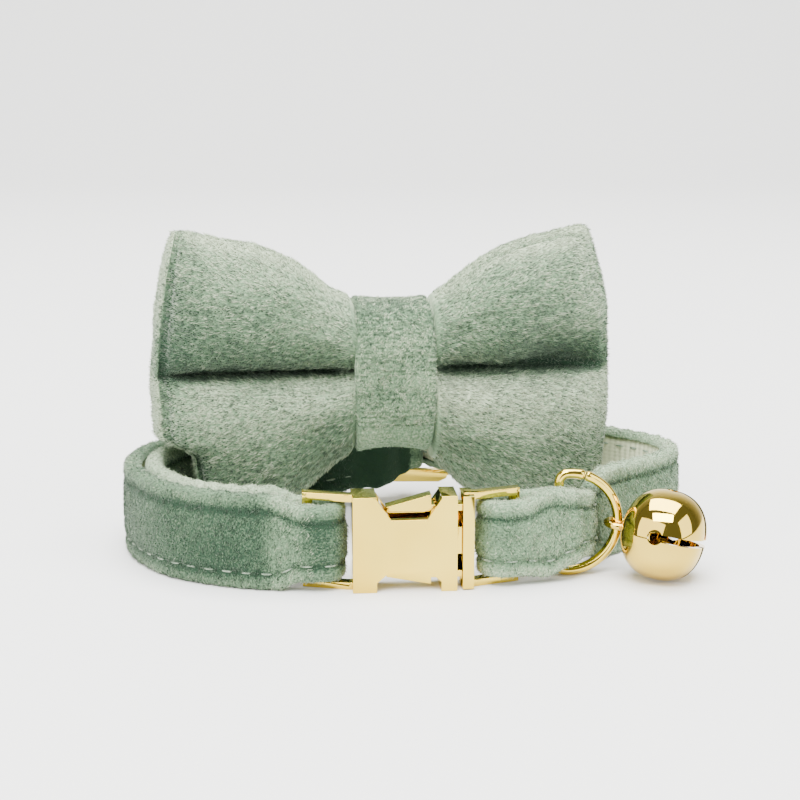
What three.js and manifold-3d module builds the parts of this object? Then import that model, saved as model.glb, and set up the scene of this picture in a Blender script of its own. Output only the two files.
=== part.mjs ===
// A velvet bow tie collar for a cat or a small dog, standing on its edge as a closed loop.
// The gilt side-release buckle is at the front, a ring with a jingle bell hangs beside it, and the padded
// bow stands inside the loop, held to the back of the strap by two elastic loops.
// Millimetres, +X to the right as seen from the front, +Y to the back, +Z up.
import * as THREE from "three";
import { mergeVertices } from "three/addons/utils/BufferGeometryUtils.js";
import Module from "manifold-3d";

const wasm = await Module();
wasm.setup();

// Strap: a webbing band in a velvet sleeve that is open on the neck side.
const STRAP_WIDTH = 12;
const STRAP_THICKNESS = 2.3;
const VELVET_THICKNESS = 1;
const VELVET_MARGIN = 0.95;
const STRAP_CORNER = 0.5;
const WEBBING_CLEARANCE = 0.15;
const CLEARANCE = 0.3;

// Loop: the plan of the strap's centreline.
const LOOP_WIDTH = 73;
const LOOP_DEPTH = 43.4;
const LOOP_CENTRE_X = 0.9;
const LEFT_SWEEP_DEG = 8;
const RIGHT_SWEEP_DEG = 19;
const LEFT_STRAIGHT = 3;
const RIGHT_STRAIGHT = 6.9;
const BACK_LIFT = 4.7;
const BACK_LIFT_REACH = 24;

// Buckle: a side-release clasp whose two strap frames bend back from its front face.
const BUCKLE_YAW_DEG = 5;
const BUCKLE_X = 1.7;
const BUCKLE_Y = 0.2;
const BUCKLE_HEIGHT = 12;
const BUCKLE_DEPTH = 4.8;
const BUCKLE_WALL = 1.1;
const SOCKET_LENGTH = 12.8;
const SOCKET_GAP = 0.7;
const FLANGE_LENGTH = 1.4;
const NOTCH_MOUTH = 7.9;
const NOTCH_OFF_CENTRE = 0.5;
const UPPER_NOTCH_FLOOR = 4.4;
const UPPER_NOTCH_DEPTH = 2.9;
const UPPER_NOTCH_LIP = 0.3;
const LOWER_NOTCH_FLOOR = 5.2;
const LOWER_NOTCH_DEPTH = 2.4;
const LOWER_NOTCH_LIP = 1.2;
const FRAME_SLOT = 4.7;
const FRAME_ARM_HEIGHT = 0.9;
const FRAME_ARM_DEPTH = 1.6;
const CROSSBAR_WIDTH = 1.3;
const CROSSBAR_DEPTH = 1.1;
const FRAME_BEND = 1.5;
const FOLD_GAP = 0.6;
const UPPER_TAB_RISE = 1.3;
const LOWER_TAB_RISE = 0.85;
const TAB_DEPTH = 2.2;
const TAB_THICKNESS = 0.8;
const TONGUE_HEIGHT = 3.4;
const PLUG_ROOT = 1.3;

// D-ring and bell.
const RING_WIRE = 1.25;
const RING_HEIGHT = 13.8;
const RING_REACH = 8.9;
const RING_HEADING_DEG = 8;
const RING_CORNER = 1.1;
const RING_JOINT_DEG = 62;
const RING_JOINT_GAP = 0.2;
const RING_FROM_FOLD = 8.3;
const RING_CROSSING = 4;
const FLAP_PAST_RING = 1.8;
const BELL_DIAMETER = 11.4;
const BELL_LENGTH = 10.3;
const BELL_WALL = 0.7;
const BELL_YAW_DEG = -24;
const BELL_SLOT = 0.9;
const BELL_SLOT_END = 1.9;
const BELL_SLOT_REACH_DEG = 88;
const BELL_ROLL_DEG = -12;
const BELL_ON_RING_DEG = -4;
const EYE_WIRE = 0.9;
const PELLET_DIAMETER = 3.6;

// Slider: a three-bar adjuster at the back.
const SLIDER_LENGTH = 12.2;
const SLIDER_BAR = 1;
const SLIDER_RAIL = 1.8;
const SLIDER_CORNER = 1.6;
const SLIDER_X = 1.2;
const SLIDER_STRAP_THICKNESS = 1.4;

// Bow: a padded pouch pinched by a knot band.
const BOW_HEIGHT = 42.2;
const BOW_LEFT_WING = 33;
const BOW_RIGHT_WING = 30;
const BOW_LOBE_DEPTH = 8.4;
const BOW_YAW_DEG = 8;
const BOW_X = -0.95;
const BOW_FROM_BACK = 14.2;
const WAIST_RISE = 0.6;
const KNOT_WIDTH = 10.9;
const KNOT_HEIGHT = 21;
const KNOT_DEPTH = 13.6;
const KNOT_WALL = 1.6;
const KNOT_FLARE = 0.9;
const ELASTIC_WIDTH = 6;
const ELASTIC_THICKNESS = 1;
const ELASTIC_FROM_KNOT = 14;
const ELASTIC_SEAM = 1.2;

const bowY = LOOP_DEPTH - BOW_FROM_BACK;

const radians = THREE.MathUtils.degToRad;
const lerp = THREE.MathUtils.lerp;

const finishes = {
  velvet: { color: 0x9db9a3, roughness: 0.95, metalness: 0 },
  webbing: { color: 0xd9dcc6, roughness: 0.9, metalness: 0 },
  elastic: { color: 0x5f7a68, roughness: 0.9, metalness: 0 },
  gilt: { color: 0xe2c583, roughness: 0.12, metalness: 1 },
  steel: { color: 0xb8b8ba, roughness: 0.3, metalness: 1 },
};

// A named mesh with one of the finishes above.
function piece(name, geometry, finish) {
  const mesh = new THREE.Mesh(geometry, new THREE.MeshStandardMaterial(finishes[finish]));
  mesh.name = name;
  return mesh;
}

// A three.js geometry as a manifold solid.
function solid(geometry) {
  const bare = geometry.clone();
  bare.deleteAttribute("normal");
  bare.deleteAttribute("uv");
  const merged = mergeVertices(bare, 1e-4);
  return new wasm.Manifold(
    new wasm.Mesh({
      numProp: 3,
      vertProperties: merged.attributes.position.array,
      triVerts: new Uint32Array(merged.index.array),
    }),
  );
}

// A manifold solid as a three.js geometry.
function geometryOf(body) {
  const mesh = body.getMesh();
  const geometry = new THREE.BufferGeometry();
  geometry.setAttribute("position", new THREE.BufferAttribute(mesh.vertProperties, 3));
  geometry.setIndex(new THREE.BufferAttribute(mesh.triVerts, 1));
  geometry.computeVertexNormals();
  return geometry;
}

// A box between two corners.
function box([x0, y0, z0], [x1, y1, z1]) {
  const made = new THREE.BoxGeometry(x1 - x0, y1 - y0, z1 - z0);
  return made.translate((x0 + x1) / 2, (y0 + y1) / 2, (z0 + z1) / 2);
}

// A plate whose outline is drawn in X and Z, from y0 back to y1.
function plate(outline, y0, y1) {
  const shape = new THREE.Shape(outline.map(([x, z]) => new THREE.Vector2(x, z)));
  const made = new THREE.ExtrudeGeometry(shape, { depth: y1 - y0, bevelEnabled: false });
  return made.rotateX(Math.PI / 2).translate(0, y1, 0);
}

// A closed surface through rings of equally many points, with flat ends unless it closes on itself.
function loft(rings, closed = false) {
  const count = rings[0].length;
  const positions = rings.flat().flatMap((p) => [p.x, p.y, p.z]);
  const index = [];
  const spans = closed ? rings.length : rings.length - 1;
  for (let i = 0; i < spans; i++) {
    const here = i * count;
    const next = ((i + 1) % rings.length) * count;
    for (let j = 0; j < count; j++) {
      const k = (j + 1) % count;
      index.push(here + j, next + j, next + k, here + j, next + k, here + k);
    }
  }
  if (!closed) {
    for (const [ring, start, flip] of [
      [rings[0], 0, false],
      [rings[rings.length - 1], (rings.length - 1) * count, true],
    ]) {
      for (const [a, b, c] of capTriangles(ring)) {
        index.push(...(flip ? [start + a, start + c, start + b] : [start + a, start + b, start + c]));
      }
    }
  }
  const geometry = new THREE.BufferGeometry();
  geometry.setAttribute("position", new THREE.Float32BufferAttribute(positions, 3));
  geometry.setIndex(index);
  return facingOut(geometry);
}

// The triangles of a flat ring, in the ring's own order.
function capTriangles(ring) {
  const origin = ring[0];
  const normal = new THREE.Vector3();
  ring.forEach((p, i) => {
    const q = ring[(i + 1) % ring.length];
    normal.add(new THREE.Vector3().crossVectors(p, q));
  });
  normal.normalize();
  const across = new THREE.Vector3().subVectors(ring[1], origin).normalize();
  const up = new THREE.Vector3().crossVectors(normal, across);
  const flat = ring.map((p) => {
    const d = new THREE.Vector3().subVectors(p, origin);
    return new THREE.Vector2(d.dot(across), d.dot(up));
  });
  return THREE.ShapeUtils.triangulateShape(flat, []);
}

// The same surface with its faces pointing out.
function facingOut(geometry) {
  const p = geometry.attributes.position;
  const index = geometry.index.array;
  const [a, b, c] = [new THREE.Vector3(), new THREE.Vector3(), new THREE.Vector3()];
  let volume = 0;
  for (let i = 0; i < index.length; i += 3) {
    a.fromBufferAttribute(p, index[i]);
    b.fromBufferAttribute(p, index[i + 1]);
    c.fromBufferAttribute(p, index[i + 2]);
    volume += a.dot(b.cross(c));
  }
  if (volume < 0) {
    for (let i = 0; i < index.length; i += 3) {
      [index[i + 1], index[i + 2]] = [index[i + 2], index[i + 1]];
    }
  }
  geometry.computeVertexNormals();
  return geometry;
}

// A value read from a table of rows, eased between them, and held before the first and after the last.
function fromTable(rows, key, column, at) {
  if (at <= rows[0][key]) return rows[0][column];
  for (let i = 1; i < rows.length; i++) {
    if (at <= rows[i][key]) {
      const [low, high] = [rows[i - 1], rows[i]];
      const t = (at - low[key]) / (high[key] - low[key]);
      return lerp(low[column], high[column], t * t * (3 - 2 * t));
    }
  }
  return rows[rows.length - 1][column];
}

// 1 at the middle, easing to 0 at the given reach on either side.
function bump(distance, reach) {
  const t = Math.min(1, Math.abs(distance) / reach);
  return 0.5 * (1 + Math.cos(Math.PI * t));
}

// Buckle, in its own frame: X along it, Y = 0 at its front face, Z = 0 at its lower edge.
const buckleLength = SOCKET_LENGTH + SOCKET_GAP + FLANGE_LENGTH;
const bodyEnd = buckleLength / 2;
const crossbarX = bodyEnd + FRAME_SLOT + CROSSBAR_WIDTH / 2;
const armY = BUCKLE_DEPTH / 2;
const crossbarY = armY + FRAME_BEND;
const midHeight = BUCKLE_HEIGHT / 2;

// A strap frame: two arms and a crossbar, on the side given by -1 or 1.
function strapFrame(side) {
  const root = bodyEnd - BUCKLE_WALL;
  const tip = crossbarX + CROSSBAR_WIDTH / 2;
  const straight = 0.4;
  const pastBar = 0.35;
  const arm = (z0, z1) => {
    const half = FRAME_ARM_DEPTH / 2;
    const at = (x, y) => [
      new THREE.Vector3(side * x, y - half, z0),
      new THREE.Vector3(side * x, y + half, z0),
      new THREE.Vector3(side * x, y + half, z1),
      new THREE.Vector3(side * x, y - half, z1),
    ];
    return loft([at(root, armY), at(bodyEnd + straight, armY), at(tip, crossbarY + pastBar)]);
  };
  const low = arm(0, FRAME_ARM_HEIGHT);
  const high = arm(BUCKLE_HEIGHT - FRAME_ARM_HEIGHT, BUCKLE_HEIGHT);
  const bar = box(
    [side * crossbarX - CROSSBAR_WIDTH / 2, crossbarY - CROSSBAR_DEPTH / 2, FRAME_ARM_HEIGHT / 2],
    [
      side * crossbarX + CROSSBAR_WIDTH / 2,
      crossbarY + CROSSBAR_DEPTH / 2,
      BUCKLE_HEIGHT - FRAME_ARM_HEIGHT / 2,
    ],
  );
  return solid(low).add(solid(high)).add(solid(bar));
}

// Socket: the hollow half, with a notch above and below where the release tabs show.
const socketLeft = -bodyEnd;
const socketRight = socketLeft + SOCKET_LENGTH;
const notchX = socketLeft + SOCKET_LENGTH / 2 + NOTCH_OFF_CENTRE;

function socketSolid() {
  const body = solid(box([socketLeft, 0, 0], [socketRight, BUCKLE_DEPTH, BUCKLE_HEIGHT]));
  const cavity = solid(
    box(
      [socketLeft + BUCKLE_WALL, BUCKLE_WALL, BUCKLE_WALL],
      [socketRight + 1, BUCKLE_DEPTH - BUCKLE_WALL, BUCKLE_HEIGHT - BUCKLE_WALL],
    ),
  );
  const notch = (edge, inwards, depth, floor, lip) => {
    const outline = [
      [notchX - NOTCH_MOUTH / 2, edge - inwards],
      [notchX - NOTCH_MOUTH / 2, edge + inwards * lip],
      [notchX - floor / 2, edge + inwards * depth],
      [notchX + floor / 2, edge + inwards * depth],
      [notchX + NOTCH_MOUTH / 2, edge + inwards * lip],
      [notchX + NOTCH_MOUTH / 2, edge - inwards],
    ];
    return solid(plate(outline, -1, BUCKLE_DEPTH + 1));
  };
  const upper = notch(BUCKLE_HEIGHT, -1, UPPER_NOTCH_DEPTH, UPPER_NOTCH_FLOOR, UPPER_NOTCH_LIP);
  const lower = notch(0, 1, LOWER_NOTCH_DEPTH, LOWER_NOTCH_FLOOR, LOWER_NOTCH_LIP);
  return body.subtract(cavity).subtract(upper).subtract(lower).add(strapFrame(-1));
}

// Plug: the flange, the root behind it, the tongue and the two sprung arms that end in the release tabs.
function plugSolid() {
  const flangeLeft = socketRight + SOCKET_GAP;
  const inset = 0.15;
  const rooted = 0.2;
  const rootBack = 0.4;
  const flange = solid(
    box([flangeLeft, inset, inset], [bodyEnd, BUCKLE_DEPTH - inset, BUCKLE_HEIGHT - inset]),
  );
  const insideY = BUCKLE_WALL + CLEARANCE;
  const tongueEnd = socketLeft + BUCKLE_WALL + 4 * CLEARANCE;
  const tongue = solid(
    box(
      [tongueEnd, insideY, midHeight - TONGUE_HEIGHT / 2],
      [flangeLeft + rooted, BUCKLE_DEPTH - insideY, midHeight + TONGUE_HEIGHT / 2],
    ),
  );
  const rootEnd = flangeLeft - PLUG_ROOT;
  const rootPlan = [
    [flangeLeft + rooted, insideY],
    [flangeLeft + rooted, BUCKLE_DEPTH - insideY],
    [rootEnd, BUCKLE_DEPTH - insideY],
    [rootEnd, BUCKLE_DEPTH - insideY - rootBack],
    [flangeLeft, insideY],
  ];
  const insideZ = BUCKLE_WALL + CLEARANCE;
  const level = (z) => rootPlan.map(([x, y]) => new THREE.Vector3(x, y, z));
  const root = solid(loft([level(insideZ), level(BUCKLE_HEIGHT - insideZ)]));
  const tipX = notchX - UPPER_NOTCH_FLOOR / 2 - 0.5;
  const shoulderX = notchX + UPPER_NOTCH_FLOOR / 2 + 0.6;
  const innerZ = BUCKLE_HEIGHT - BUCKLE_WALL - CLEARANCE - TAB_THICKNESS;
  const outline = (rise, edge) => [
    [flangeLeft + rooted, edge(innerZ)],
    [flangeLeft + rooted, edge(innerZ + TAB_THICKNESS)],
    [shoulderX, edge(innerZ + TAB_THICKNESS)],
    [shoulderX, edge(innerZ + TAB_THICKNESS + rise)],
    [tipX, edge(innerZ + TAB_THICKNESS * 0.75)],
    [tipX, edge(innerZ)],
  ];
  const tabY = (BUCKLE_DEPTH - TAB_DEPTH) / 2;
  const upper = solid(plate(outline(UPPER_TAB_RISE, (z) => z), tabY, tabY + TAB_DEPTH));
  const mirrored = outline(LOWER_TAB_RISE, (z) => BUCKLE_HEIGHT - z).reverse();
  const lower = solid(plate(mirrored, tabY, tabY + TAB_DEPTH));
  return flange.add(root).add(tongue).add(upper).add(lower).add(strapFrame(1));
}

// A point of the buckle's frame, in the plan of the collar.
function fromBuckle(x, y) {
  const point = new THREE.Vector2(x, y).rotateAround(new THREE.Vector2(), radians(BUCKLE_YAW_DEG));
  return point.add(new THREE.Vector2(BUCKLE_X, BUCKLE_Y));
}

// Strap folds: the strap passes in front of a crossbar, turns in the slot and comes back behind it.
const layerGap = Math.hypot(CROSSBAR_WIDTH, CROSSBAR_DEPTH) + CLEARANCE;
const foldRadius = (layerGap + STRAP_THICKNESS) / 2;
const foldBehindBar = FRAME_SLOT + CROSSBAR_WIDTH / 2 - FOLD_GAP - STRAP_THICKNESS / 2 - foldRadius;

// A fold: its centre, the crossbar, the way the strap leaves it and the way that its front layer faces.
function fold(side, sweepDeg) {
  const bar = fromBuckle(side * crossbarX, crossbarY);
  const sweep = radians(sweepDeg);
  const away = new THREE.Vector2(side * Math.cos(sweep), Math.sin(sweep));
  const centre = bar.clone().addScaledVector(away, -foldBehindBar);
  const front = new THREE.Vector2(away.y, -away.x).multiplyScalar(side);
  return { centre, bar, away, front };
}
const leftFold = fold(-1, LEFT_SWEEP_DEG);
const rightFold = fold(1, RIGHT_SWEEP_DEG);

// Plan of the strap's centreline from the left fold round the back to the right fold,
// as shares of half the loop's width and of its depth.
const loopPlan = [
  { across: -0.56, deep: 0.052 },
  { across: -0.7, deep: 0.1 },
  { across: -0.815, deep: 0.165 },
  { across: -0.905, deep: 0.26 },
  { across: -0.97, deep: 0.37 },
  { across: -0.995, deep: 0.49 },
  { across: -0.975, deep: 0.615 },
  { across: -0.9, deep: 0.75 },
  { across: -0.76, deep: 0.875 },
  { across: -0.54, deep: 0.957 },
  { across: -0.27, deep: 0.992 },
  { across: 0.03, deep: 1 },
  { across: 0.33, deep: 0.992 },
  { across: 0.6, deep: 0.955 },
  { across: 0.8, deep: 0.885 },
  { across: 0.92, deep: 0.8 },
  { across: 0.985, deep: 0.7 },
  { across: 0.983, deep: 0.625 },
  { across: 0.94, deep: 0.553 },
  { across: 0.863, deep: 0.484 },
  { across: 0.762, deep: 0.41 },
  { across: 0.685, deep: 0.335 },
];

// The bend beyond the ring: shares of the strap's width, from the end of the right straight, along the
// strap there and towards the back.
const ringBend = [
  { along: 0.396, across: 0.388 },
  { along: 0.262, across: 0.155 },
];

// The base line: a dense list of plan points with their outward normals and arc lengths.
function baseLine() {
  const flat = (p) => new THREE.Vector3(p.x, p.y, 0);
  const atBar = (f, along) => {
    const front = f.bar.clone().addScaledVector(f.front, foldRadius);
    return flat(front.addScaledVector(f.away, along));
  };
  const controls = [
    atBar(leftFold, 0),
    atBar(leftFold, LEFT_STRAIGHT),
    ...loopPlan.map(
      ({ across, deep }) => new THREE.Vector3(LOOP_CENTRE_X + (across * LOOP_WIDTH) / 2, deep * LOOP_DEPTH, 0),
    ),
    ...ringBend.map(({ along, across }) => {
      const there = atBar(rightFold, RIGHT_STRAIGHT + along * STRAP_WIDTH);
      return there.addScaledVector(flat(rightFold.front), -across * STRAP_WIDTH);
    }),
    atBar(rightFold, RIGHT_STRAIGHT),
    atBar(rightFold, RIGHT_STRAIGHT * 0.58),
    atBar(rightFold, 0),
  ];
  const curve = new THREE.CatmullRomCurve3(controls, false, "centripetal");
  const count = 900;
  const points = curve.getSpacedPoints(count).map((p) => new THREE.Vector2(p.x, p.y));
  const length = curve.getLength();
  return points.map((point, i) => {
    const before = points[Math.max(0, i - 2)];
    const after = points[Math.min(count, i + 2)];
    const along = after.clone().sub(before).normalize();
    return { point, outward: new THREE.Vector2(-along.y, along.x), s: (length * i) / count };
  });
}
const base = baseLine();
const baseLength = base[base.length - 1].s;

// The plan point at arc length s along the base line, moved outward by the given offset.
function onBase(s, offset) {
  const exact = THREE.MathUtils.clamp((s / baseLength) * (base.length - 1), 0, base.length - 1);
  const i = Math.min(Math.floor(exact), base.length - 2);
  const t = exact - i;
  const point = base[i].point.clone().lerp(base[i + 1].point, t);
  const outward = base[i].outward.clone().lerp(base[i + 1].outward, t).normalize();
  return point.addScaledVector(outward, offset);
}

// The arc length of the back stretch's point nearest to the given X.
function backAt(x) {
  const back = base.filter((b) => b.point.y > LOOP_DEPTH * 0.8);
  return back.reduce((best, b) => (Math.abs(b.point.x - x) < Math.abs(best.point.x - x) ? b : best)).s;
}
const sliderS = backAt(SLIDER_X);
const ringS = baseLength - (RING_FROM_FOLD - foldRadius);

// Slider stations, as distances along the strap from the middle bar.
const sliderBarReach = (SLIDER_LENGTH - SLIDER_BAR) / 2;
const slimGap = 0.25;
const sliderPlane = SLIDER_BAR / 2 + CLEARANCE + SLIDER_STRAP_THICKNESS / 2;
const wrapRadius = SLIDER_BAR / 2 + slimGap + SLIDER_STRAP_THICKNESS / 2;
const sliderHump = sliderPlane + wrapRadius + SLIDER_STRAP_THICKNESS + slimGap;
const humpFlat = 1.2 * SLIDER_BAR;
const humpEnd = sliderBarReach - SLIDER_BAR / 2 - 0.2;

// How far the outer layer stands out of the base line: it climbs over the slider's middle bar.
function outerOffset(s) {
  const from = Math.abs(s - sliderS);
  return sliderHump * bump(Math.max(0, from - humpFlat), humpEnd - humpFlat);
}

// Both layers are pressed thin where they pass the slider.
function thicknessAt(s) {
  const from = Math.abs(s - sliderS);
  const eased = THREE.MathUtils.smoothstep(from, sliderBarReach + 0.8, sliderBarReach + 5);
  return lerp(SLIDER_STRAP_THICKNESS, STRAP_THICKNESS, eased);
}

// How far inside the base line the returning layer lies, by its distance along the strap from the slider.
const LAYER_SLACK = 0.15;
const PRESSED_ROOM = 0.35;
const offSlider = sliderBarReach + 5.9;
const pressed = SLIDER_STRAP_THICKNESS + CLEARANCE + PRESSED_ROOM;
const hugging = STRAP_THICKNESS + CLEARANCE + LAYER_SLACK;
const returnLayer = [
  { from: 0, inside: -(sliderPlane - wrapRadius) },
  { from: SLIDER_BAR, inside: LAYER_SLACK },
  { from: sliderBarReach - 1.5, inside: pressed },
  { from: sliderBarReach + 0.8, inside: pressed },
  { from: offSlider, inside: hugging },
];
const besideFold = layerGap + STRAP_THICKNESS;
function returnInside(s) {
  const nearFold = lerp(besideFold, hugging, THREE.MathUtils.smoothstep(s, 1.5, 13));
  const nearSlider = fromTable(returnLayer, "from", "inside", sliderS - s);
  return sliderS - s < offSlider ? nearSlider : nearFold;
}

// Width and height of the strap at a point of the base line: squeezed in the buckle's slots and in the
// ring, and lifted at the back by the elastic loops.
const squeezedWidth = BUCKLE_HEIGHT - 2 * FRAME_ARM_HEIGHT - 2 * CLEARANCE;
const ringCentreZ = RING_HEIGHT / 2;
const RINGED_ROOM = 1.35;
const SQUEEZE_LENGTH = 3.5;
const ringedWidth = RING_HEIGHT - 2 * RING_WIRE - 2 * RINGED_ROOM;
const ringFromBar = baseLength - ringS;
const beforeRing = [
  { from: 0, width: squeezedWidth },
  { from: 4, width: STRAP_WIDTH - 0.8 },
  { from: ringFromBar + 0.5, width: ringedWidth + 1.2 },
  { from: ringFromBar + 2.4, width: ringedWidth },
  { from: ringFromBar + RING_CROSSING + 1.6, width: ringedWidth },
  { from: ringFromBar + RING_CROSSING + 8, width: STRAP_WIDTH },
];
function widthAt(s, squeezedTo) {
  const spread = THREE.MathUtils.smoothstep(s, squeezedTo, squeezedTo + SQUEEZE_LENGTH);
  const left = lerp(squeezedWidth, STRAP_WIDTH, spread);
  return Math.min(left, fromTable(beforeRing, "from", "width", baseLength - s));
}
function centreAt(s) {
  const { x, y } = onBase(s, 0);
  const fromSlider = Math.max(0, Math.abs(x - SLIDER_X) - SLIDER_LENGTH / 2 - 1);
  const back = y > LOOP_DEPTH / 2 ? bump(fromSlider, BACK_LIFT_REACH) : 0;
  const ring = (ringCentreZ - STRAP_WIDTH / 2) * bump(s - ringS + RING_CROSSING / 2, 9);
  return STRAP_WIDTH / 2 + BACK_LIFT * back + ring;
}

// One cross-section's place: a plan point, the direction of the velvet face, centre height, width and
// thickness.
const station = (point, velvet, s, squeezedTo = 1.5) => ({
  point,
  velvet: velvet.clone().normalize(),
  z: centreAt(s),
  width: widthAt(s, squeezedTo),
  thickness: thicknessAt(s),
});

// Steps between two arc lengths, closer together where the step function says so.
function steps(from, to, stepAt) {
  const found = [from];
  const sign = Math.sign(to - from);
  while (Math.abs(to - found[found.length - 1]) > stepAt(found[found.length - 1]) * 1.4) {
    const last = found[found.length - 1];
    found.push(last + sign * stepAt(last));
  }
  found.push(to);
  return found;
}
const stepAt = (s) => {
  const nearSlider = Math.abs(s - sliderS) < sliderBarReach + 1.5;
  const nearFold = s < 5 || s > ringS - RING_CROSSING - 3;
  return nearSlider ? 0.62 : nearFold ? 1.2 : 3;
};

// The layer that follows the base line at the given outward offset, velvet facing out (1) or in (-1).
function layer(from, to, offsetAt, facing, squeezedTo) {
  return steps(from, to, stepAt).map((s) => {
    const point = onBase(s, offsetAt(s));
    const ahead = onBase(s + 0.2, offsetAt(s + 0.2));
    const behind = onBase(s - 0.2, offsetAt(s - 0.2));
    const along = ahead.sub(behind);
    return station(point, new THREE.Vector2(-along.y, along.x).multiplyScalar(facing), s, squeezedTo);
  });
}

// The turn in a buckle slot, from the front of the crossbar to the back or the other way round.
function turn(f, s, fromFront) {
  const count = 9;
  const made = [];
  for (let i = 0; i <= count; i++) {
    const angle = (Math.PI * (fromFront ? i : count - i)) / count;
    const out = f.front
      .clone()
      .multiplyScalar(Math.cos(angle))
      .addScaledVector(f.away, -Math.sin(angle));
    made.push(station(f.centre.clone().addScaledVector(out, foldRadius), out, s));
  }
  return made;
}

// The whole strap, from the flap inside the ring, round the right crossbar, along the loop,
// round the left crossbar and back to the slider's middle bar.
function strapStations() {
  const flapEnd = baseLength - ringS + FLAP_PAST_RING;
  const flap = [1, 0.75, 0.5, 0.25].map((share) => {
    const inside = rightFold.front.clone().negate();
    const at = rightFold.bar.clone().addScaledVector(rightFold.away, flapEnd * share);
    return station(at.addScaledVector(inside, foldRadius), inside, baseLength);
  });
  const outer = layer(baseLength - 0.4, 0.4, outerOffset, 1, 0.2);
  const returning = layer(0.4, sliderS - 0.2, (s) => -returnInside(s), -1, 1.5);
  const wrap = [];
  const wrapCount = 7;
  const middle = onBase(sliderS, sliderPlane);
  const outward = onBase(sliderS, 1).sub(onBase(sliderS, 0));
  const ahead = new THREE.Vector2(outward.y, -outward.x);
  for (let i = 1; i <= wrapCount; i++) {
    const angle = (Math.PI * i) / wrapCount;
    const out = outward
      .clone()
      .multiplyScalar(-Math.cos(angle))
      .addScaledVector(ahead, Math.sin(angle));
    wrap.push(station(middle.clone().addScaledVector(out, wrapRadius), out, sliderS));
  }
  return [
    ...flap,
    ...turn(rightFold, baseLength, false),
    ...outer,
    ...turn(leftFold, 0, true),
    ...returning,
    ...wrap,
  ];
}

// Places a cross-section drawn as [height, depth] pairs at each station; depth is positive on the velvet side.
function sweepStrap(stations, sectionAt) {
  return loft(
    stations.map((st) =>
      sectionAt(st).map(
        ([height, depth]) =>
          new THREE.Vector3(st.point.x + st.velvet.x * depth, st.point.y + st.velvet.y * depth, st.z + height),
      ),
    ),
  );
}

// The velvet sleeve: the face, two rounded edges and the margins beside the webbing.
function velvetSection({ width, thickness }) {
  const half = width / 2;
  const face = thickness / 2;
  const inside = face - (VELVET_THICKNESS * thickness) / STRAP_THICKNESS;
  const margin = half - VELVET_MARGIN;
  const corner = Math.min(STRAP_CORNER, thickness / 3);
  const right = [
    [half - corner, face],
    [half, face - corner],
    [half, corner - face],
    [half - corner, -face],
    [margin, -face],
    [margin, inside],
  ];
  const left = right.map(([height, depth]) => [-height, depth]).reverse();
  return [...right, ...left];
}

function webbingSection({ width, thickness }) {
  const half = width / 2 - VELVET_MARGIN - WEBBING_CLEARANCE;
  const face = thickness / 2;
  const inside = face - (VELVET_THICKNESS * thickness) / STRAP_THICKNESS - WEBBING_CLEARANCE;
  const outside = -face * 0.9;
  return [
    [half, inside],
    [half, outside],
    [-half, outside],
    [-half, inside],
  ];
}

// D-ring: a wire in the shape of a D, its straight side held between the strap's two layers.
const ringRadius = (RING_HEIGHT - RING_WIRE) / 2;
const ringArm = RING_REACH - RING_WIRE - ringRadius;
const ringBar = onBase(ringS, -besideFold / 2);
const ringHeading = radians(RING_HEADING_DEG);
function ringGeometry() {
  const v = (x, z) => new THREE.Vector3(x, 0, z);
  const arcPoints = (cx, cz, radius, from, to, count) =>
    Array.from({ length: count + 1 }, (_, i) => {
      const angle = radians(lerp(from, to, i / count));
      return v(cx + radius * Math.cos(angle), cz + radius * Math.sin(angle));
    });
  const joint = RING_JOINT_DEG + THREE.MathUtils.radToDeg(RING_JOINT_GAP / ringRadius);
  const points = [
    ...arcPoints(ringArm, 0, ringRadius, joint, 90, 3),
    ...arcPoints(RING_CORNER, ringRadius - RING_CORNER, RING_CORNER, 90, 180, 4),
    ...arcPoints(RING_CORNER, RING_CORNER - ringRadius, RING_CORNER, 180, 270, 4),
    ...arcPoints(ringArm, 0, ringRadius, -90, RING_JOINT_DEG, 17),
  ];
  const sides = 8;
  const rings = points.map((p, i) => {
    const before = points[Math.max(0, i - 1)];
    const after = points[Math.min(points.length - 1, i + 1)];
    const along = after.clone().sub(before).normalize();
    const across = new THREE.Vector3(along.z, 0, -along.x);
    return Array.from({ length: sides }, (_, j) => {
      const angle = (2 * Math.PI * j) / sides;
      return p
        .clone()
        .addScaledVector(across, (RING_WIRE / 2) * Math.cos(angle))
        .add(new THREE.Vector3(0, (RING_WIRE / 2) * Math.sin(angle), 0));
    });
  });
  return loft(rings);
}

function ringMesh() {
  const mesh = piece("d_ring", ringGeometry(), "gilt");
  mesh.position.set(ringBar.x, ringBar.y, ringCentreZ);
  mesh.rotation.z = ringHeading;
  return mesh;
}

// Bell, in its own frame: X along its axis from the eye to the slotted end, origin at its centre.
const eyeRadius = RING_WIRE / 2 + EYE_WIRE / 2 + 0.25;
const eyeReach = BELL_LENGTH / 2 + RING_WIRE / 2 + CLEARANCE;

function bellProfile(radius, half, count) {
  const power = 2.35;
  return Array.from({ length: count + 1 }, (_, i) => {
    const angle = (Math.PI * i) / count - Math.PI / 2;
    const round = (value) => Math.sign(value) * Math.abs(value) ** (2 / power);
    const fromAxis = i === 0 || i === count ? 0 : radius * round(Math.cos(angle));
    return new THREE.Vector2(fromAxis, half * round(Math.sin(angle)));
  });
}

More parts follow.
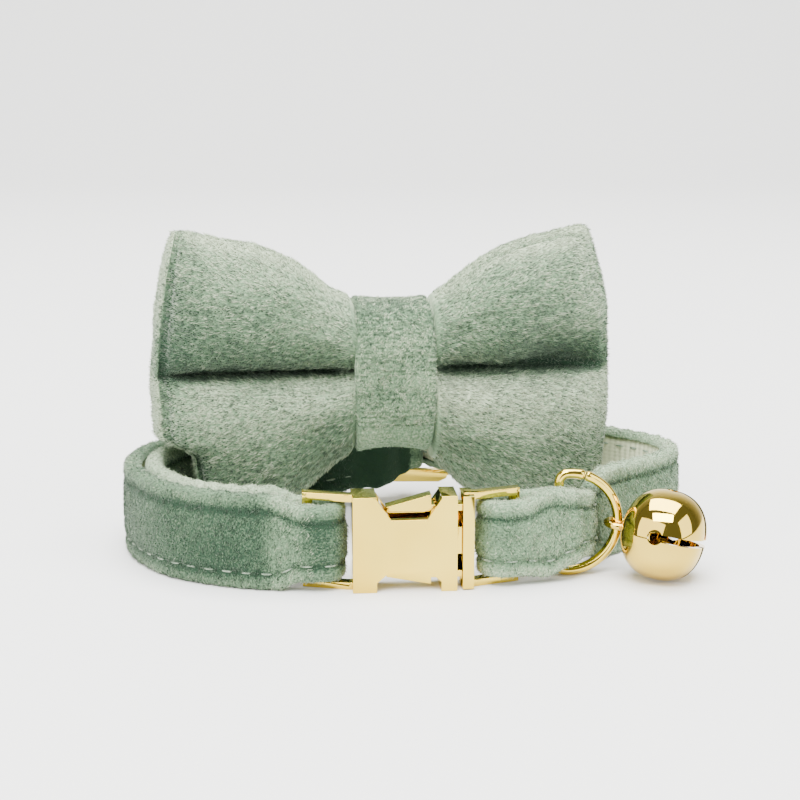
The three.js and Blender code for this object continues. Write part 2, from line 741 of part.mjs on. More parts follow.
function bellSolid() {
  const sides = 24;
  const alongX = (geometry) => geometry.rotateZ(-Math.PI / 2);
  const outer = alongX(new THREE.LatheGeometry(bellProfile(BELL_DIAMETER / 2, BELL_LENGTH / 2, 14), sides));
  const inner = alongX(
    new THREE.LatheGeometry(bellProfile(BELL_DIAMETER / 2 - BELL_WALL, BELL_LENGTH / 2 - BELL_WALL, 10), 16),
  );
  let body = solid(outer).subtract(solid(inner));
  const reachX = (BELL_LENGTH / 2) * Math.cos(radians(BELL_SLOT_REACH_DEG));
  const reachR = (BELL_DIAMETER / 2) * Math.sin(radians(BELL_SLOT_REACH_DEG));
  const past = 2;
  for (const turned of [0, 90, 180, 270]) {
    const slot = box([reachX, -BELL_SLOT / 2, 0], [BELL_LENGTH / 2 + past, BELL_SLOT / 2, reachR + past]);
    const hole = new THREE.CylinderGeometry(BELL_SLOT_END / 2, BELL_SLOT_END / 2, BELL_DIAMETER, 10);
    hole.rotateX(Math.PI / 2).translate(0, 0, BELL_DIAMETER / 2 + BELL_WALL);
    hole.rotateY(Math.PI / 2 - radians(BELL_SLOT_REACH_DEG));
    for (const cutter of [slot, hole]) {
      body = body.subtract(solid(cutter.rotateX(radians(turned + BELL_ROLL_DEG))));
    }
  }
  const eye = new THREE.TorusGeometry(eyeRadius, EYE_WIRE / 2, 6, 14);
  eye.translate(-eyeReach, 0, 0);
  return body.add(solid(eye));
}

// The bell hangs by its eye on the far side of the ring and lies on its side on the ground.
const bellYaw = radians(BELL_YAW_DEG);
const onRing = radians(BELL_ON_RING_DEG);
const eyeFromBar = ringArm + ringRadius * Math.cos(onRing);
const eyePoint = new THREE.Vector3(
  ringBar.x + eyeFromBar * Math.cos(ringHeading),
  ringBar.y + eyeFromBar * Math.sin(ringHeading),
  ringCentreZ + ringRadius * Math.sin(onRing),
);
const bellTilt = Math.asin((eyePoint.z - BELL_DIAMETER / 2) / eyeReach);
const bellCentre = new THREE.Vector3(
  eyePoint.x + eyeReach * Math.cos(bellTilt) * Math.cos(bellYaw),
  eyePoint.y + eyeReach * Math.cos(bellTilt) * Math.sin(bellYaw),
  BELL_DIAMETER / 2,
);

function bellMeshes() {
  const shell = piece("bell", geometryOf(bellSolid()), "gilt");
  shell.position.copy(bellCentre);
  shell.rotation.set(0, bellTilt, bellYaw, "ZYX");
  const pellet = piece("bell_pellet", new THREE.SphereGeometry(PELLET_DIAMETER / 2, 10, 7), "steel");
  pellet.position.copy(bellCentre);
  pellet.position.z = BELL_WALL + CLEARANCE + PELLET_DIAMETER / 2;
  return [shell, pellet];
}

// Slider: two rails above and below the strap, joined by three bars; the strap climbs over the middle one.
function sliderMesh() {
  const inner = STRAP_WIDTH / 2 + CLEARANCE;
  const outer = inner + SLIDER_RAIL;
  const bar = (x) => {
    const made = new THREE.CylinderGeometry(SLIDER_BAR / 2, SLIDER_BAR / 2, 2 * inner + SLIDER_RAIL, 8);
    return solid(made.rotateX(Math.PI / 2).translate(x, 0, 0));
  };
  const half = SLIDER_LENGTH / 2;
  const rail = (z0, z1) => {
    const outline = [
      [-half, z0],
      [half, z0],
      [half - SLIDER_CORNER * 0.3, lerp(z0, z1, 0.7)],
      [half - SLIDER_CORNER, z1],
      [SLIDER_CORNER - half, z1],
      [SLIDER_CORNER * 0.3 - half, lerp(z0, z1, 0.7)],
    ];
    const ordered = z1 > z0 ? outline : outline.reverse();
    return solid(plate(ordered, -SLIDER_BAR * 0.7, SLIDER_BAR * 0.7));
  };
  const body = [-sliderBarReach, 0, sliderBarReach]
    .map(bar)
    .reduce((all, one) => all.add(one), rail(inner, outer).add(rail(-inner, -outer)));
  const mesh = piece("slider", geometryOf(body), "gilt");
  const middle = onBase(sliderS, sliderPlane);
  const along = onBase(sliderS + 0.5, 0).sub(onBase(sliderS - 0.5, 0));
  mesh.position.set(middle.x, middle.y, centreAt(sliderS));
  mesh.rotation.z = Math.atan2(along.y, along.x);
  return mesh;
}

// Bow, in its own frame: X along the wings, Y to the back, Z up, origin at the middle of the knot.
// Shares along a wing from the knot to its end: half height, thickness and depth of the middle fold.
const wingTable = [
  { along: 0, height: 0.51, thick: 0.6, fold: 0.8 },
  { along: 0.1, height: 0.61, thick: 0.76, fold: 0.88 },
  { along: 0.25, height: 0.76, thick: 0.93, fold: 0.9 },
  { along: 0.45, height: 0.88, thick: 1, fold: 0.86 },
  { along: 0.65, height: 0.94, thick: 0.95, fold: 0.76 },
  { along: 0.82, height: 0.985, thick: 0.82, fold: 0.52 },
  { along: 0.93, height: 1, thick: 0.6, fold: 0.2 },
  { along: 0.985, height: 0.985, thick: 0.34, fold: 0.1 },
  { along: 1, height: 0.96, thick: 0.1, fold: 0 },
];
// How much shorter a wing is at its upper and lower corner than at its middle.
const UPPER_CORNER = 0.12;
const LOWER_CORNER = 0.08;
// The left wing is pressed in where it stands behind the strap's upper edge.
const STRAP_DENT = 0.175;
const DENT_FROM = 0.36;
const DENT_TO = 0.48;
const BACK_SHARE = 0.82;
const BACK_FOLD = 0.7;
const LOBE_PEAK = 0.42;
const wingRoot = KNOT_WIDTH / 2 + 0.5;

// How far a lobe stands out at v, from 0 at the fold to 1 at the outer seam.
function lobe(v, fold) {
  if (v < LOBE_PEAK) {
    const t = 1 - v / LOBE_PEAK;
    return 1 - fold + fold * Math.sqrt(1 - t * t);
  }
  const t = (v - LOBE_PEAK) / (1 - LOBE_PEAK);
  return (1 - t ** 2.6) ** 0.62;
}

// The ring of points round a wing, at the given share of its length.
function wingRing(side, length, along) {
  const get = (column) => fromTable(wingTable, "along", column, along);
  const halfHeight = (get("height") * BOW_HEIGHT) / 2;
  const thick = get("thick") * BOW_LOBE_DEPTH;
  const fold = get("fold");
  const heights = [1, 0.97, 0.86, 0.68, 0.5, 0.4, 0.26, 0.12, 0.02];
  const at = (v, up, back) => {
    const share = (v * halfHeight) / (BOW_HEIGHT / 2);
    const z = up * v * halfHeight + WAIST_RISE * (1 - v * along);
    const dent = side < 0 ? STRAP_DENT * THREE.MathUtils.smoothstep(share, DENT_FROM, DENT_TO) : 0;
    const corner = up > 0 ? UPPER_CORNER * share ** 2 : LOWER_CORNER * share ** 2 + dent;
    const x = side * (wingRoot + (length - wingRoot) * along * (1 - corner * along ** 2));
    const y = v === 1 ? 0 : lobe(v, back > 0 ? fold * BACK_FOLD : fold) * thick * (back > 0 ? BACK_SHARE : -1);
    return new THREE.Vector3(x, y, z);
  };
  const down = heights.map((v) => at(v, 1, -1));
  const under = [...heights].reverse().map((v) => at(v, -1, -1));
  const rise = heights.slice(1).map((v) => at(v, -1, 1));
  const over = [...heights].reverse().slice(0, -1).map((v) => at(v, 1, 1));
  return [...down, ...under, ...rise, ...over];
}

function bowGeometry() {
  const shares = [0, 0.1, 0.25, 0.42, 0.6, 0.76, 0.88, 0.95, 0.985, 1];
  const left = [...shares].reverse().map((a) => wingRing(-1, BOW_LEFT_WING, a));
  const waist = waistRing();
  const right = shares.map((a) => wingRing(1, BOW_RIGHT_WING, a));
  return loft([...left, ...waist, ...right]);
}

// The pinched middle of the bow, inside the knot band.
function waistRing() {
  const snug = 0.93;
  const rootHeight = (wingTable[0].height * BOW_HEIGHT) / 2;
  const rootThick = wingTable[0].thick * BOW_LOBE_DEPTH;
  const lower = (snug * (KNOT_HEIGHT / 2 - KNOT_WALL - CLEARANCE)) / rootHeight;
  const thinner = (snug * (KNOT_DEPTH / 2 - KNOT_WALL - CLEARANCE)) / rootThick;
  return [-1, 1].map((side) =>
    wingRing(side, BOW_LEFT_WING, 0).map(
      ({ y, z }) =>
        new THREE.Vector3((side * KNOT_WIDTH) / 2, y * thinner, WAIST_RISE + (z - WAIST_RISE) * lower),
    ),
  );
}

// Knot band: a flat velvet strip wrapped round the waist, a little wider at its middle height.
function knotGeometry() {
  const count = 28;
  const squareness = 3.2;
  const ringAt = (grow, x) => {
    const [halfY, halfZ] = [KNOT_DEPTH / 2 + grow, KNOT_HEIGHT / 2 + grow];
    return Array.from({ length: count }, (_, i) => {
      const angle = (2 * Math.PI * i) / count;
      const rounded = (value) => Math.sign(value) * Math.abs(value) ** (2 / squareness);
      const [y, z] = [halfY * rounded(Math.cos(angle)), halfZ * rounded(Math.sin(angle))];
      const flare = 1 + (KNOT_FLARE / KNOT_WIDTH) * (1 - (z / halfZ) ** 2);
      return new THREE.Vector3(x * flare, y, WAIST_RISE + z);
    });
  };
  const half = KNOT_WIDTH / 2 - KNOT_FLARE / 2;
  const edge = KNOT_WALL * 0.28;
  return loft(
    [
      ringAt(-KNOT_WALL, half),
      ringAt(-edge, half),
      ringAt(0, half - edge),
      ringAt(0, edge - half),
      ringAt(-edge, -half),
      ringAt(-KNOT_WALL, -half),
    ],
    true,
  );
}

const bowCentreZ = BOW_HEIGHT / 2;
function bowGroup() {
  const group = new THREE.Group();
  group.add(piece("bow_pouch", bowGeometry(), "velvet"), piece("bow_knot", knotGeometry(), "velvet"));
  group.position.set(BOW_X, bowY, bowCentreZ);
  group.rotation.z = radians(BOW_YAW_DEG);
  return group;
}

// How far back the bow's back panel reaches beside a height, at the given distance from the bow's middle.
function panelBack(fromMiddle, z) {
  const side = Math.sign(fromMiddle);
  const length = side < 0 ? BOW_LEFT_WING : BOW_RIGHT_WING;
  const window = 2.5;
  const reaches = [-0.5, 0, 0.5].flatMap((share) => {
    const along = (Math.abs(fromMiddle) + share * ELASTIC_WIDTH - wingRoot) / (length - wingRoot);
    return wingRing(side, length, along).filter((p) => Math.abs(p.z + bowCentreZ - z) < window);
  });
  const yaw = radians(BOW_YAW_DEG);
  return bowY + Math.max(...reaches.map((p) => p.y)) * Math.cos(yaw) + fromMiddle * Math.sin(yaw);
}

// Elastic loops: a flat strip behind each wing, sewn to the back panel above and below, that passes
// behind and under the strap.
function elasticMesh(name, side) {
  const half = ELASTIC_THICKNESS / 2;
  const x = BOW_X + side * ELASTIC_FROM_KNOT;
  const s = backAt(x);
  const alongStrap = onBase(s + 0.5, 0).sub(onBase(s - 0.5, 0));
  const turned = (Math.atan2(alongStrap.y, alongStrap.x) + radians(BOW_YAW_DEG)) / 2;
  const slant = 0.5;
  const strapY = onBase(s, 0).y;
  const layers = side < 0 ? hugging : 0;
  const outside = strapY + STRAP_THICKNESS / 2 + CLEARANCE + half + slant;
  const inside = strapY - layers - STRAP_THICKNESS / 2 - CLEARANCE - half - slant;
  const heights = [-0.5, 0.5].map((share) => centreAt(s + share * ELASTIC_WIDTH));
  const under = Math.min(...heights) - STRAP_WIDTH / 2 - 2 * CLEARANCE - half;
  const over = Math.max(...heights) + STRAP_WIDTH / 2 + 2 * CLEARANCE + half;
  const sewn = (z) => panelBack(side * ELASTIC_FROM_KNOT, z) + CLEARANCE + half;
  const sewnTop = over + ELASTIC_SEAM;
  const sewnLow = under + 2 * ELASTIC_SEAM;
  const controls = [
    [sewn(sewnTop), sewnTop],
    [lerp(sewn(sewnTop), outside, 0.3), over + 0.3],
    [outside - 1.2, over],
    [outside, over - 1.4],
    [outside, centreAt(s)],
    [outside, under + 1.4],
    [outside - 1.2, under],
    [inside + 1.2, under],
    [lerp(inside, sewn(sewnLow), 0.2), under + 0.4],
    [sewn(sewnLow), sewnLow],
  ].map(([y, z]) => new THREE.Vector3(0, y - strapY, z));
  const points = new THREE.CatmullRomCurve3(controls, false, "centripetal").getSpacedPoints(34);
  const corners = [
    [-1, -1],
    [1, -1],
    [1, 1],
    [-1, 1],
  ];
  const rings = points.map((p, i) => {
    const before = points[Math.max(0, i - 1)];
    const after = points[Math.min(points.length - 1, i + 1)];
    const along = after.clone().sub(before).normalize();
    const across = new THREE.Vector3(0, -along.z, along.y);
    return corners.map(([wide, thick]) =>
      p
        .clone()
        .addScaledVector(across, thick * half)
        .setX((wide * ELASTIC_WIDTH) / 2),
    );
  });
  const mesh = piece(name, loft(rings), "elastic");
  mesh.position.set(x, strapY, 0);
  mesh.rotation.z = turned;
  return mesh;
}

const collar = new THREE.Group();

const buckle = new THREE.Group();
buckle.add(
  piece("buckle_socket", geometryOf(socketSolid()), "gilt"),
  piece("buckle_plug", geometryOf(plugSolid()), "gilt"),
);
buckle.position.set(BUCKLE_X, BUCKLE_Y, 0);
buckle.rotation.z = radians(BUCKLE_YAW_DEG);
collar.add(buckle);

const strap = strapStations();
collar.add(
  piece("strap_velvet", sweepStrap(strap, velvetSection), "velvet"),
  piece("strap_webbing", sweepStrap(strap, webbingSection), "webbing"),
);
collar.add(sliderMesh(), ringMesh(), ...bellMeshes(), bowGroup());
collar.add(elasticMesh("elastic_left", -1), elasticMesh("elastic_right", 1));

// The origin is under the middle of the whole collar, on the surface that it stands on.
collar.updateMatrixWorld(true);
const extent = new THREE.Box3().setFromObject(collar, true);
const middle = extent.getCenter(new THREE.Vector3());
const standing = new THREE.Group();
collar.position.set(-middle.x, -middle.y, -extent.min.z);
standing.add(collar);

export default standing;
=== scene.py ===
"""Looks of a velvet bow tie collar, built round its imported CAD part.

Lengths in the classes are in millimetres, and a mesh is written in metres. X is to the right, Y goes from
the buckle at the front to the slider at the back, and Z is up.
"""

import logging
import math
from dataclasses import dataclass, field
from enum import Enum
from typing import Callable

import bmesh
import bpy
import numpy as np
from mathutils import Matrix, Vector


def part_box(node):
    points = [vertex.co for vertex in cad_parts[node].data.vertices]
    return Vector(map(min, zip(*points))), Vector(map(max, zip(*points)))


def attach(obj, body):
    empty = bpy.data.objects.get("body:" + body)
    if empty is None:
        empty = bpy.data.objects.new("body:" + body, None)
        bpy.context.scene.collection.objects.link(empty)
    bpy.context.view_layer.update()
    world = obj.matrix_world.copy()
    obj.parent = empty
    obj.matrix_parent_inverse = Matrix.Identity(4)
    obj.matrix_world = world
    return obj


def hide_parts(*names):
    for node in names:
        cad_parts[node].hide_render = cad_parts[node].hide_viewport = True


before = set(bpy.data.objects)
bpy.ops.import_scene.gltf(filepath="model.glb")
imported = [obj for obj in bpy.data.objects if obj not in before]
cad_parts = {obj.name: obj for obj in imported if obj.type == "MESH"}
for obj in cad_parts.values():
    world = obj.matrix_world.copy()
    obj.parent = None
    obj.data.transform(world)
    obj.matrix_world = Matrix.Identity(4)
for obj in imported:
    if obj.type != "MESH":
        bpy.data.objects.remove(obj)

Array = np.ndarray
Color = tuple[float, float, float]
MM = 0.001
log = logging.getLogger("collar")


# ---------------------------------------------------------------- numbers and curves


def smoothstep(x: Array, low: float, high: float) -> Array:
    """Eases from 0 at low to 1 at high."""
    t = np.clip((x - low) / (high - low), 0, 1)
    return t * t * (3 - 2 * t)


def bump(distance: Array, reach: float) -> Array:
    """A cosine hump: 1 at no distance and 0 from the reach on."""
    return 0.5 * (1 + np.cos(np.pi * np.minimum(1, np.abs(distance) / reach)))


def ridge(distance: Array, width: float) -> Array:
    """A bell curve, exp of minus the squared share of distance over width."""
    return np.exp(-((distance / width) ** 2))


def eased_table(at: Array, rows: list[tuple[float, float]]) -> Array:
    """Reads a table of (place, value) rows, eased between neighbours and held beyond its ends.

    Args:
        at: where to read it.
        rows: the table, in rising order of place.

    Returns:
        The values.
    """
    xs, ys = np.array(rows).T
    i = np.clip(np.searchsorted(xs, at, side="left") - 1, 0, len(xs) - 2)
    t = np.clip((at - xs[i]) / (xs[i + 1] - xs[i]), 0, 1)
    return ys[i] + (ys[i + 1] - ys[i]) * t * t * (3 - 2 * t)


def flowing_table(at: Array, xs: Array, ys: Array) -> Array:
    """Reads a table with a cubic through its rows whose slope at a row is that of the row's neighbours.

    Args:
        at: where to read it.
        xs: the places, rising.
        ys: the values.

    Returns:
        The values.
    """
    slope = np.gradient(ys, xs)
    i = np.clip(np.searchsorted(xs, at, side="right") - 1, 0, len(xs) - 2)
    h = xs[i + 1] - xs[i]
    t = np.clip((at - xs[i]) / h, 0, 1)
    a = (2 * t**3 - 3 * t**2 + 1) * ys[i] + (t**3 - 2 * t**2 + t) * h * slope[i]
    return a + (3 * t**2 - 2 * t**3) * ys[i + 1] + (t**3 - t**2) * h * slope[i + 1]


def unit(v: Array) -> Array:
    """Vectors of length 1 along the last axis."""
    return v / np.maximum(np.linalg.norm(v, axis=-1, keepdims=True), 1e-9)


def lattice_noise(p: Array, seed: int) -> Array:
    """Smooth noise: random numbers on the points of a unit lattice, eased between them.

    Args:
        p: points, one lattice cell a unit, in the last axis of length 3.
        seed: picks the random numbers.

    Returns:
        Values from 0 to 1.
    """
    table = np.random.default_rng(seed).permutation(256)
    cell = np.floor(p).astype(int)
    t = p - cell
    t = t * t * (3 - 2 * t)
    total = np.zeros(p.shape[:-1])
    for corner in range(8):
        step = np.array([corner & 1, corner >> 1 & 1, corner >> 2 & 1])
        x, y, z = np.moveaxis((cell + step) & 255, -1, 0)
        value = table[(table[(table[x] + y) & 255] + z) & 255] / 255
        total += value * np.prod(np.where(step, t, 1 - t), axis=-1)
    return total


def centripetal(controls: Array, per_span: int = 40) -> Array:
    """A centripetal Catmull-Rom curve through control points, with knots at the square roots of the spans.

    Args:
        controls: the points that it passes.
        per_span: how many points it has from one control to the next.

    Returns:
        The points of the curve.
    """
    ends = [2 * controls[0] - controls[1], *controls, 2 * controls[-1] - controls[-2]]
    made = []
    for p0, p1, p2, p3 in zip(ends, ends[1:], ends[2:], ends[3:]):
        d0, d1, d2 = (np.linalg.norm(b - a) ** 0.5 for a, b in ((p0, p1), (p1, p2), (p2, p3)))
        m1 = ((p1 - p0) / d0 - (p2 - p0) / (d0 + d1) + (p2 - p1) / d1) * d1
        m2 = ((p2 - p1) / d1 - (p3 - p1) / (d1 + d2) + (p3 - p2) / d2) * d1
        t = np.linspace(0, 1, per_span, endpoint=False)[:, None]
        curve = (2 * t**3 - 3 * t**2 + 1) * p1 + (t**3 - 2 * t**2 + t) * m1
        made.append(curve + (3 * t**2 - 2 * t**3) * p2 + (t**3 - t**2) * m2)
    return np.concatenate([*made, controls[-1:]])


def lengths_along(points: Array) -> Array:
    """The distance along a line of points from its first to each of them."""
    return np.concatenate([[0], np.cumsum(np.linalg.norm(np.diff(points, axis=0), axis=1))])


def turned(points: Array, degrees: float, axes: tuple[int, int] = (0, 1)) -> Array:
    """The points turned in one plane, which without other word is that of X and Y.

    Args:
        points: points with their coordinates in the last axis.
        degrees: the angle.
        axes: the plane's axes; the first turns towards the second.

    Returns:
        The turned points.
    """
    c, s = math.cos(math.radians(degrees)), math.sin(math.radians(degrees))
    i, j = axes
    made = points.copy()
    made[..., i] = c * points[..., i] - s * points[..., j]
    made[..., j] = s * points[..., i] + c * points[..., j]
    return made


def circle(count: int) -> Array:
    """Angles all round a circle, in equal steps from 0."""
    return np.linspace(0, 2 * np.pi, count, endpoint=False)


def squarish(value: Array, power: float) -> Array:
    """A cosine or sine made that of a superellipse: to the power 2 / power, with its sign kept."""
    return np.sign(value) * np.abs(value) ** (2 / power)


def lengths_round(height: Array, depth: Array) -> Array:
    """The distance along a strap section's outline to each of its columns, and one more that closes it."""
    far = lengths_along(np.stack([height[0], depth[0]], axis=1))
    return np.append(far, far[-1] + 1)


# ---------------------------------------------------------------- surfaces and meshes


@dataclass
class Surface:
    """A grid of points: rows along the piece, columns round it. Columns always close on themselves.

    Open rows end in one flat face, or, when laced, in faces that join the two halves of the round.
    """

    points: Array
    closed_rows: bool = False
    laced: bool = False
    along: Array | None = None
    around: Array | None = None
    tone: Array | None = None

    def corners(self) -> tuple[Array, Array, Array]:
        """The grid's quads.

        Returns:
            Vertex numbers, row numbers and column numbers of each quad's corners, each of shape (n, 4).
        """
        rows, cols = self.points.shape[:2]
        spans = rows if self.closed_rows else rows - 1
        i, j = (a.ravel() for a in np.meshgrid(np.arange(spans), np.arange(cols), indexing="ij"))
        r = np.stack([i, i + 1, i + 1, i], axis=1)
        c = np.stack([j, j, j + 1, j + 1], axis=1)
        return (r % rows) * cols + c % cols, r, c

    def flip(self) -> bool:
        """Whether the quads face inwards, from the sign of the volume that they close."""
        quads, _, _ = self.corners()
        flat = self.points.reshape(-1, 3) - self.points.reshape(-1, 3).mean(axis=0)
        a, b, c, d = (flat[quads[:, k]] for k in range(4))
        return float(np.sum(np.cross(a, b) * c + np.cross(a, c) * d)) < 0

    def normals(self) -> Array:
        """A unit normal for each quad, facing out."""
        quads, _, _ = self.corners()
        flat = self.points.reshape(-1, 3)
        a, b, c, d = (flat[quads[:, k]] for k in range(4))
        n = unit(np.cross(c - a, d - b))
        return -n if self.flip() else n

    def piece(self, name: str) -> bpy.types.Object:
        """Writes the grid as a mesh with flat end faces, and its two parameters as a UV map in millimetres.

        Args:
            name: the object's name.

        Returns:
            The object.
        """
        rows, cols = self.points.shape[:2]
        quads, r, c = self.corners()
        inwards = self.flip()
        along = np.arange(rows + 1.0) if self.along is None else np.append(self.along, self.along[-1])
        around = np.arange(cols + 1.0) if self.around is None else self.around
        uv = np.stack([along[r], around[c]], axis=-1)
        if inwards:
            quads, uv = quads[:, ::-1], uv[:, ::-1]
        ends = []
        if not self.closed_rows:
            first = [np.arange(cols)]
            if self.laced:
                k = np.arange(1, cols // 2 - 1)
                across = np.stack([k, k + 1, cols - k - 1, cols - k], axis=1)
                first = [np.array([0, 1, cols - 1]), *across, cols // 2 + np.array([-1, 0, 1])]
            ends = [e if inwards else e[::-1] for e in first]
            ends += [(e[::-1] if inwards else e) + (rows - 1) * cols for e in first]
        loops = np.concatenate([quads.ravel(), *ends]) if ends else quads.ravel()
        sizes = np.concatenate([np.full(len(quads), 4), [len(e) for e in ends]]).astype(int)
        flat_uv = np.zeros((len(loops), 2))
        flat_uv[: quads.size] = uv.reshape(-1, 2)
        made = new_mesh(name, self.points.reshape(-1, 3), loops, sizes, flat_uv)
        if self.tone is not None:
            add_values(made, "tone", self.tones())
        return made

    def tones(self) -> Array:
        """The tone of each point, one after another."""
        return np.broadcast_to(self.tone, self.points.shape[:2]).ravel()


def new_mesh(
    name: str, points: Array, loops: Array, sizes: Array, uv: Array | None = None
) -> bpy.types.Object:
    """Makes an object from arrays, smooth shaded, riding on the collar.

    Args:
        name: the object's name.
        points: vertices in millimetres.
        loops: the faces' vertex numbers, one face after another.
        sizes: how many of them each face has.
        uv: a UV pair for each loop.

    Returns:
        The object.
    """
    mesh = bpy.data.meshes.new(name)
    mesh.vertices.add(len(points))
    mesh.vertices.foreach_set("co", (points * MM).astype(np.float32).ravel())
    mesh.loops.add(len(loops))
    mesh.loops.foreach_set("vertex_index", loops.astype(np.int32))
    mesh.polygons.add(len(sizes))
    mesh.polygons.foreach_set("loop_start", np.concatenate([[0], np.cumsum(sizes)[:-1]]).astype(np.int32))
    mesh.update(calc_edges=True)
    mesh.polygons.foreach_set("use_smooth", np.ones(len(sizes), dtype=bool))
    if uv is not None:
        mesh.uv_layers.new(name="pile").data.foreach_set("uv", uv.astype(np.float32).ravel())
    made = bpy.data.objects.new(name, mesh)
    bpy.context.collection.objects.link(made)
    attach(made, "root")
    return made


def add_values(piece: bpy.types.Object, name: str, values: Array) -> None:
    """Stores one number a vertex as an attribute of the mesh."""
    store = piece.data.attributes.new(name=name, type="FLOAT", domain="POINT")
    store.data.foreach_set("value", values.astype(np.float32))


def finished_copy(node: str, name: str, bevel: float, segments: int = 3) -> bpy.types.Object:
    """Copies a CAD node with its corners merged, its flat faces joined and its sharp edges rounded.

    Args:
        node: the CAD node.
        name: the new piece's name.
        bevel: the width of the rounding.
        segments: how many faces go round it.

    Returns:
        The new piece, which replaces the node.
    """
    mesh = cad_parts[node].data.copy()
    mesh.name = name
    mesh.materials.clear()
    shape = bmesh.new()
    shape.from_mesh(mesh)
    bmesh.ops.remove_doubles(shape, verts=shape.verts, dist=2e-6)
    edges, verts = list(shape.edges), list(shape.verts)
    bmesh.ops.dissolve_limit(shape, angle_limit=math.radians(1), verts=verts, edges=edges)
    shape.to_mesh(mesh)
    shape.free()
    made = bpy.data.objects.new(name, mesh)
    bpy.context.collection.objects.link(made)
    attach(made, "root")
    rounding = made.modifiers.new("rounding", "BEVEL")
    rounding.width = bevel * MM
    rounding.segments = segments
    rounding.limit_method = "ANGLE"
    rounding.angle_limit = math.radians(32)
    rounding.harden_normals = True
    mesh.shade_smooth()
    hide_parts(node)
    return made


def applied(piece: bpy.types.Object) -> None:
    """Replaces a piece's mesh by what its modifiers make of it."""
    depsgraph = bpy.context.evaluated_depsgraph_get()
    mesh = bpy.data.meshes.new_from_object(piece.evaluated_get(depsgraph), depsgraph=depsgraph)
    piece.modifiers.clear()
    piece.data = mesh


def face_outwards(piece: bpy.types.Object) -> None:
    """Turns a piece's faces to look out of the solids that they close."""
    shape = bmesh.new()
    shape.from_mesh(piece.data)
    bmesh.ops.recalc_face_normals(shape, faces=shape.faces)
    shape.to_mesh(piece.data)
    shape.free()


# ---------------------------------------------------------------- finishes


class Pattern(Enum):
    """What a pattern's coordinates are measured on."""

    OBJECT = "Object"
    SURFACE = "UV"


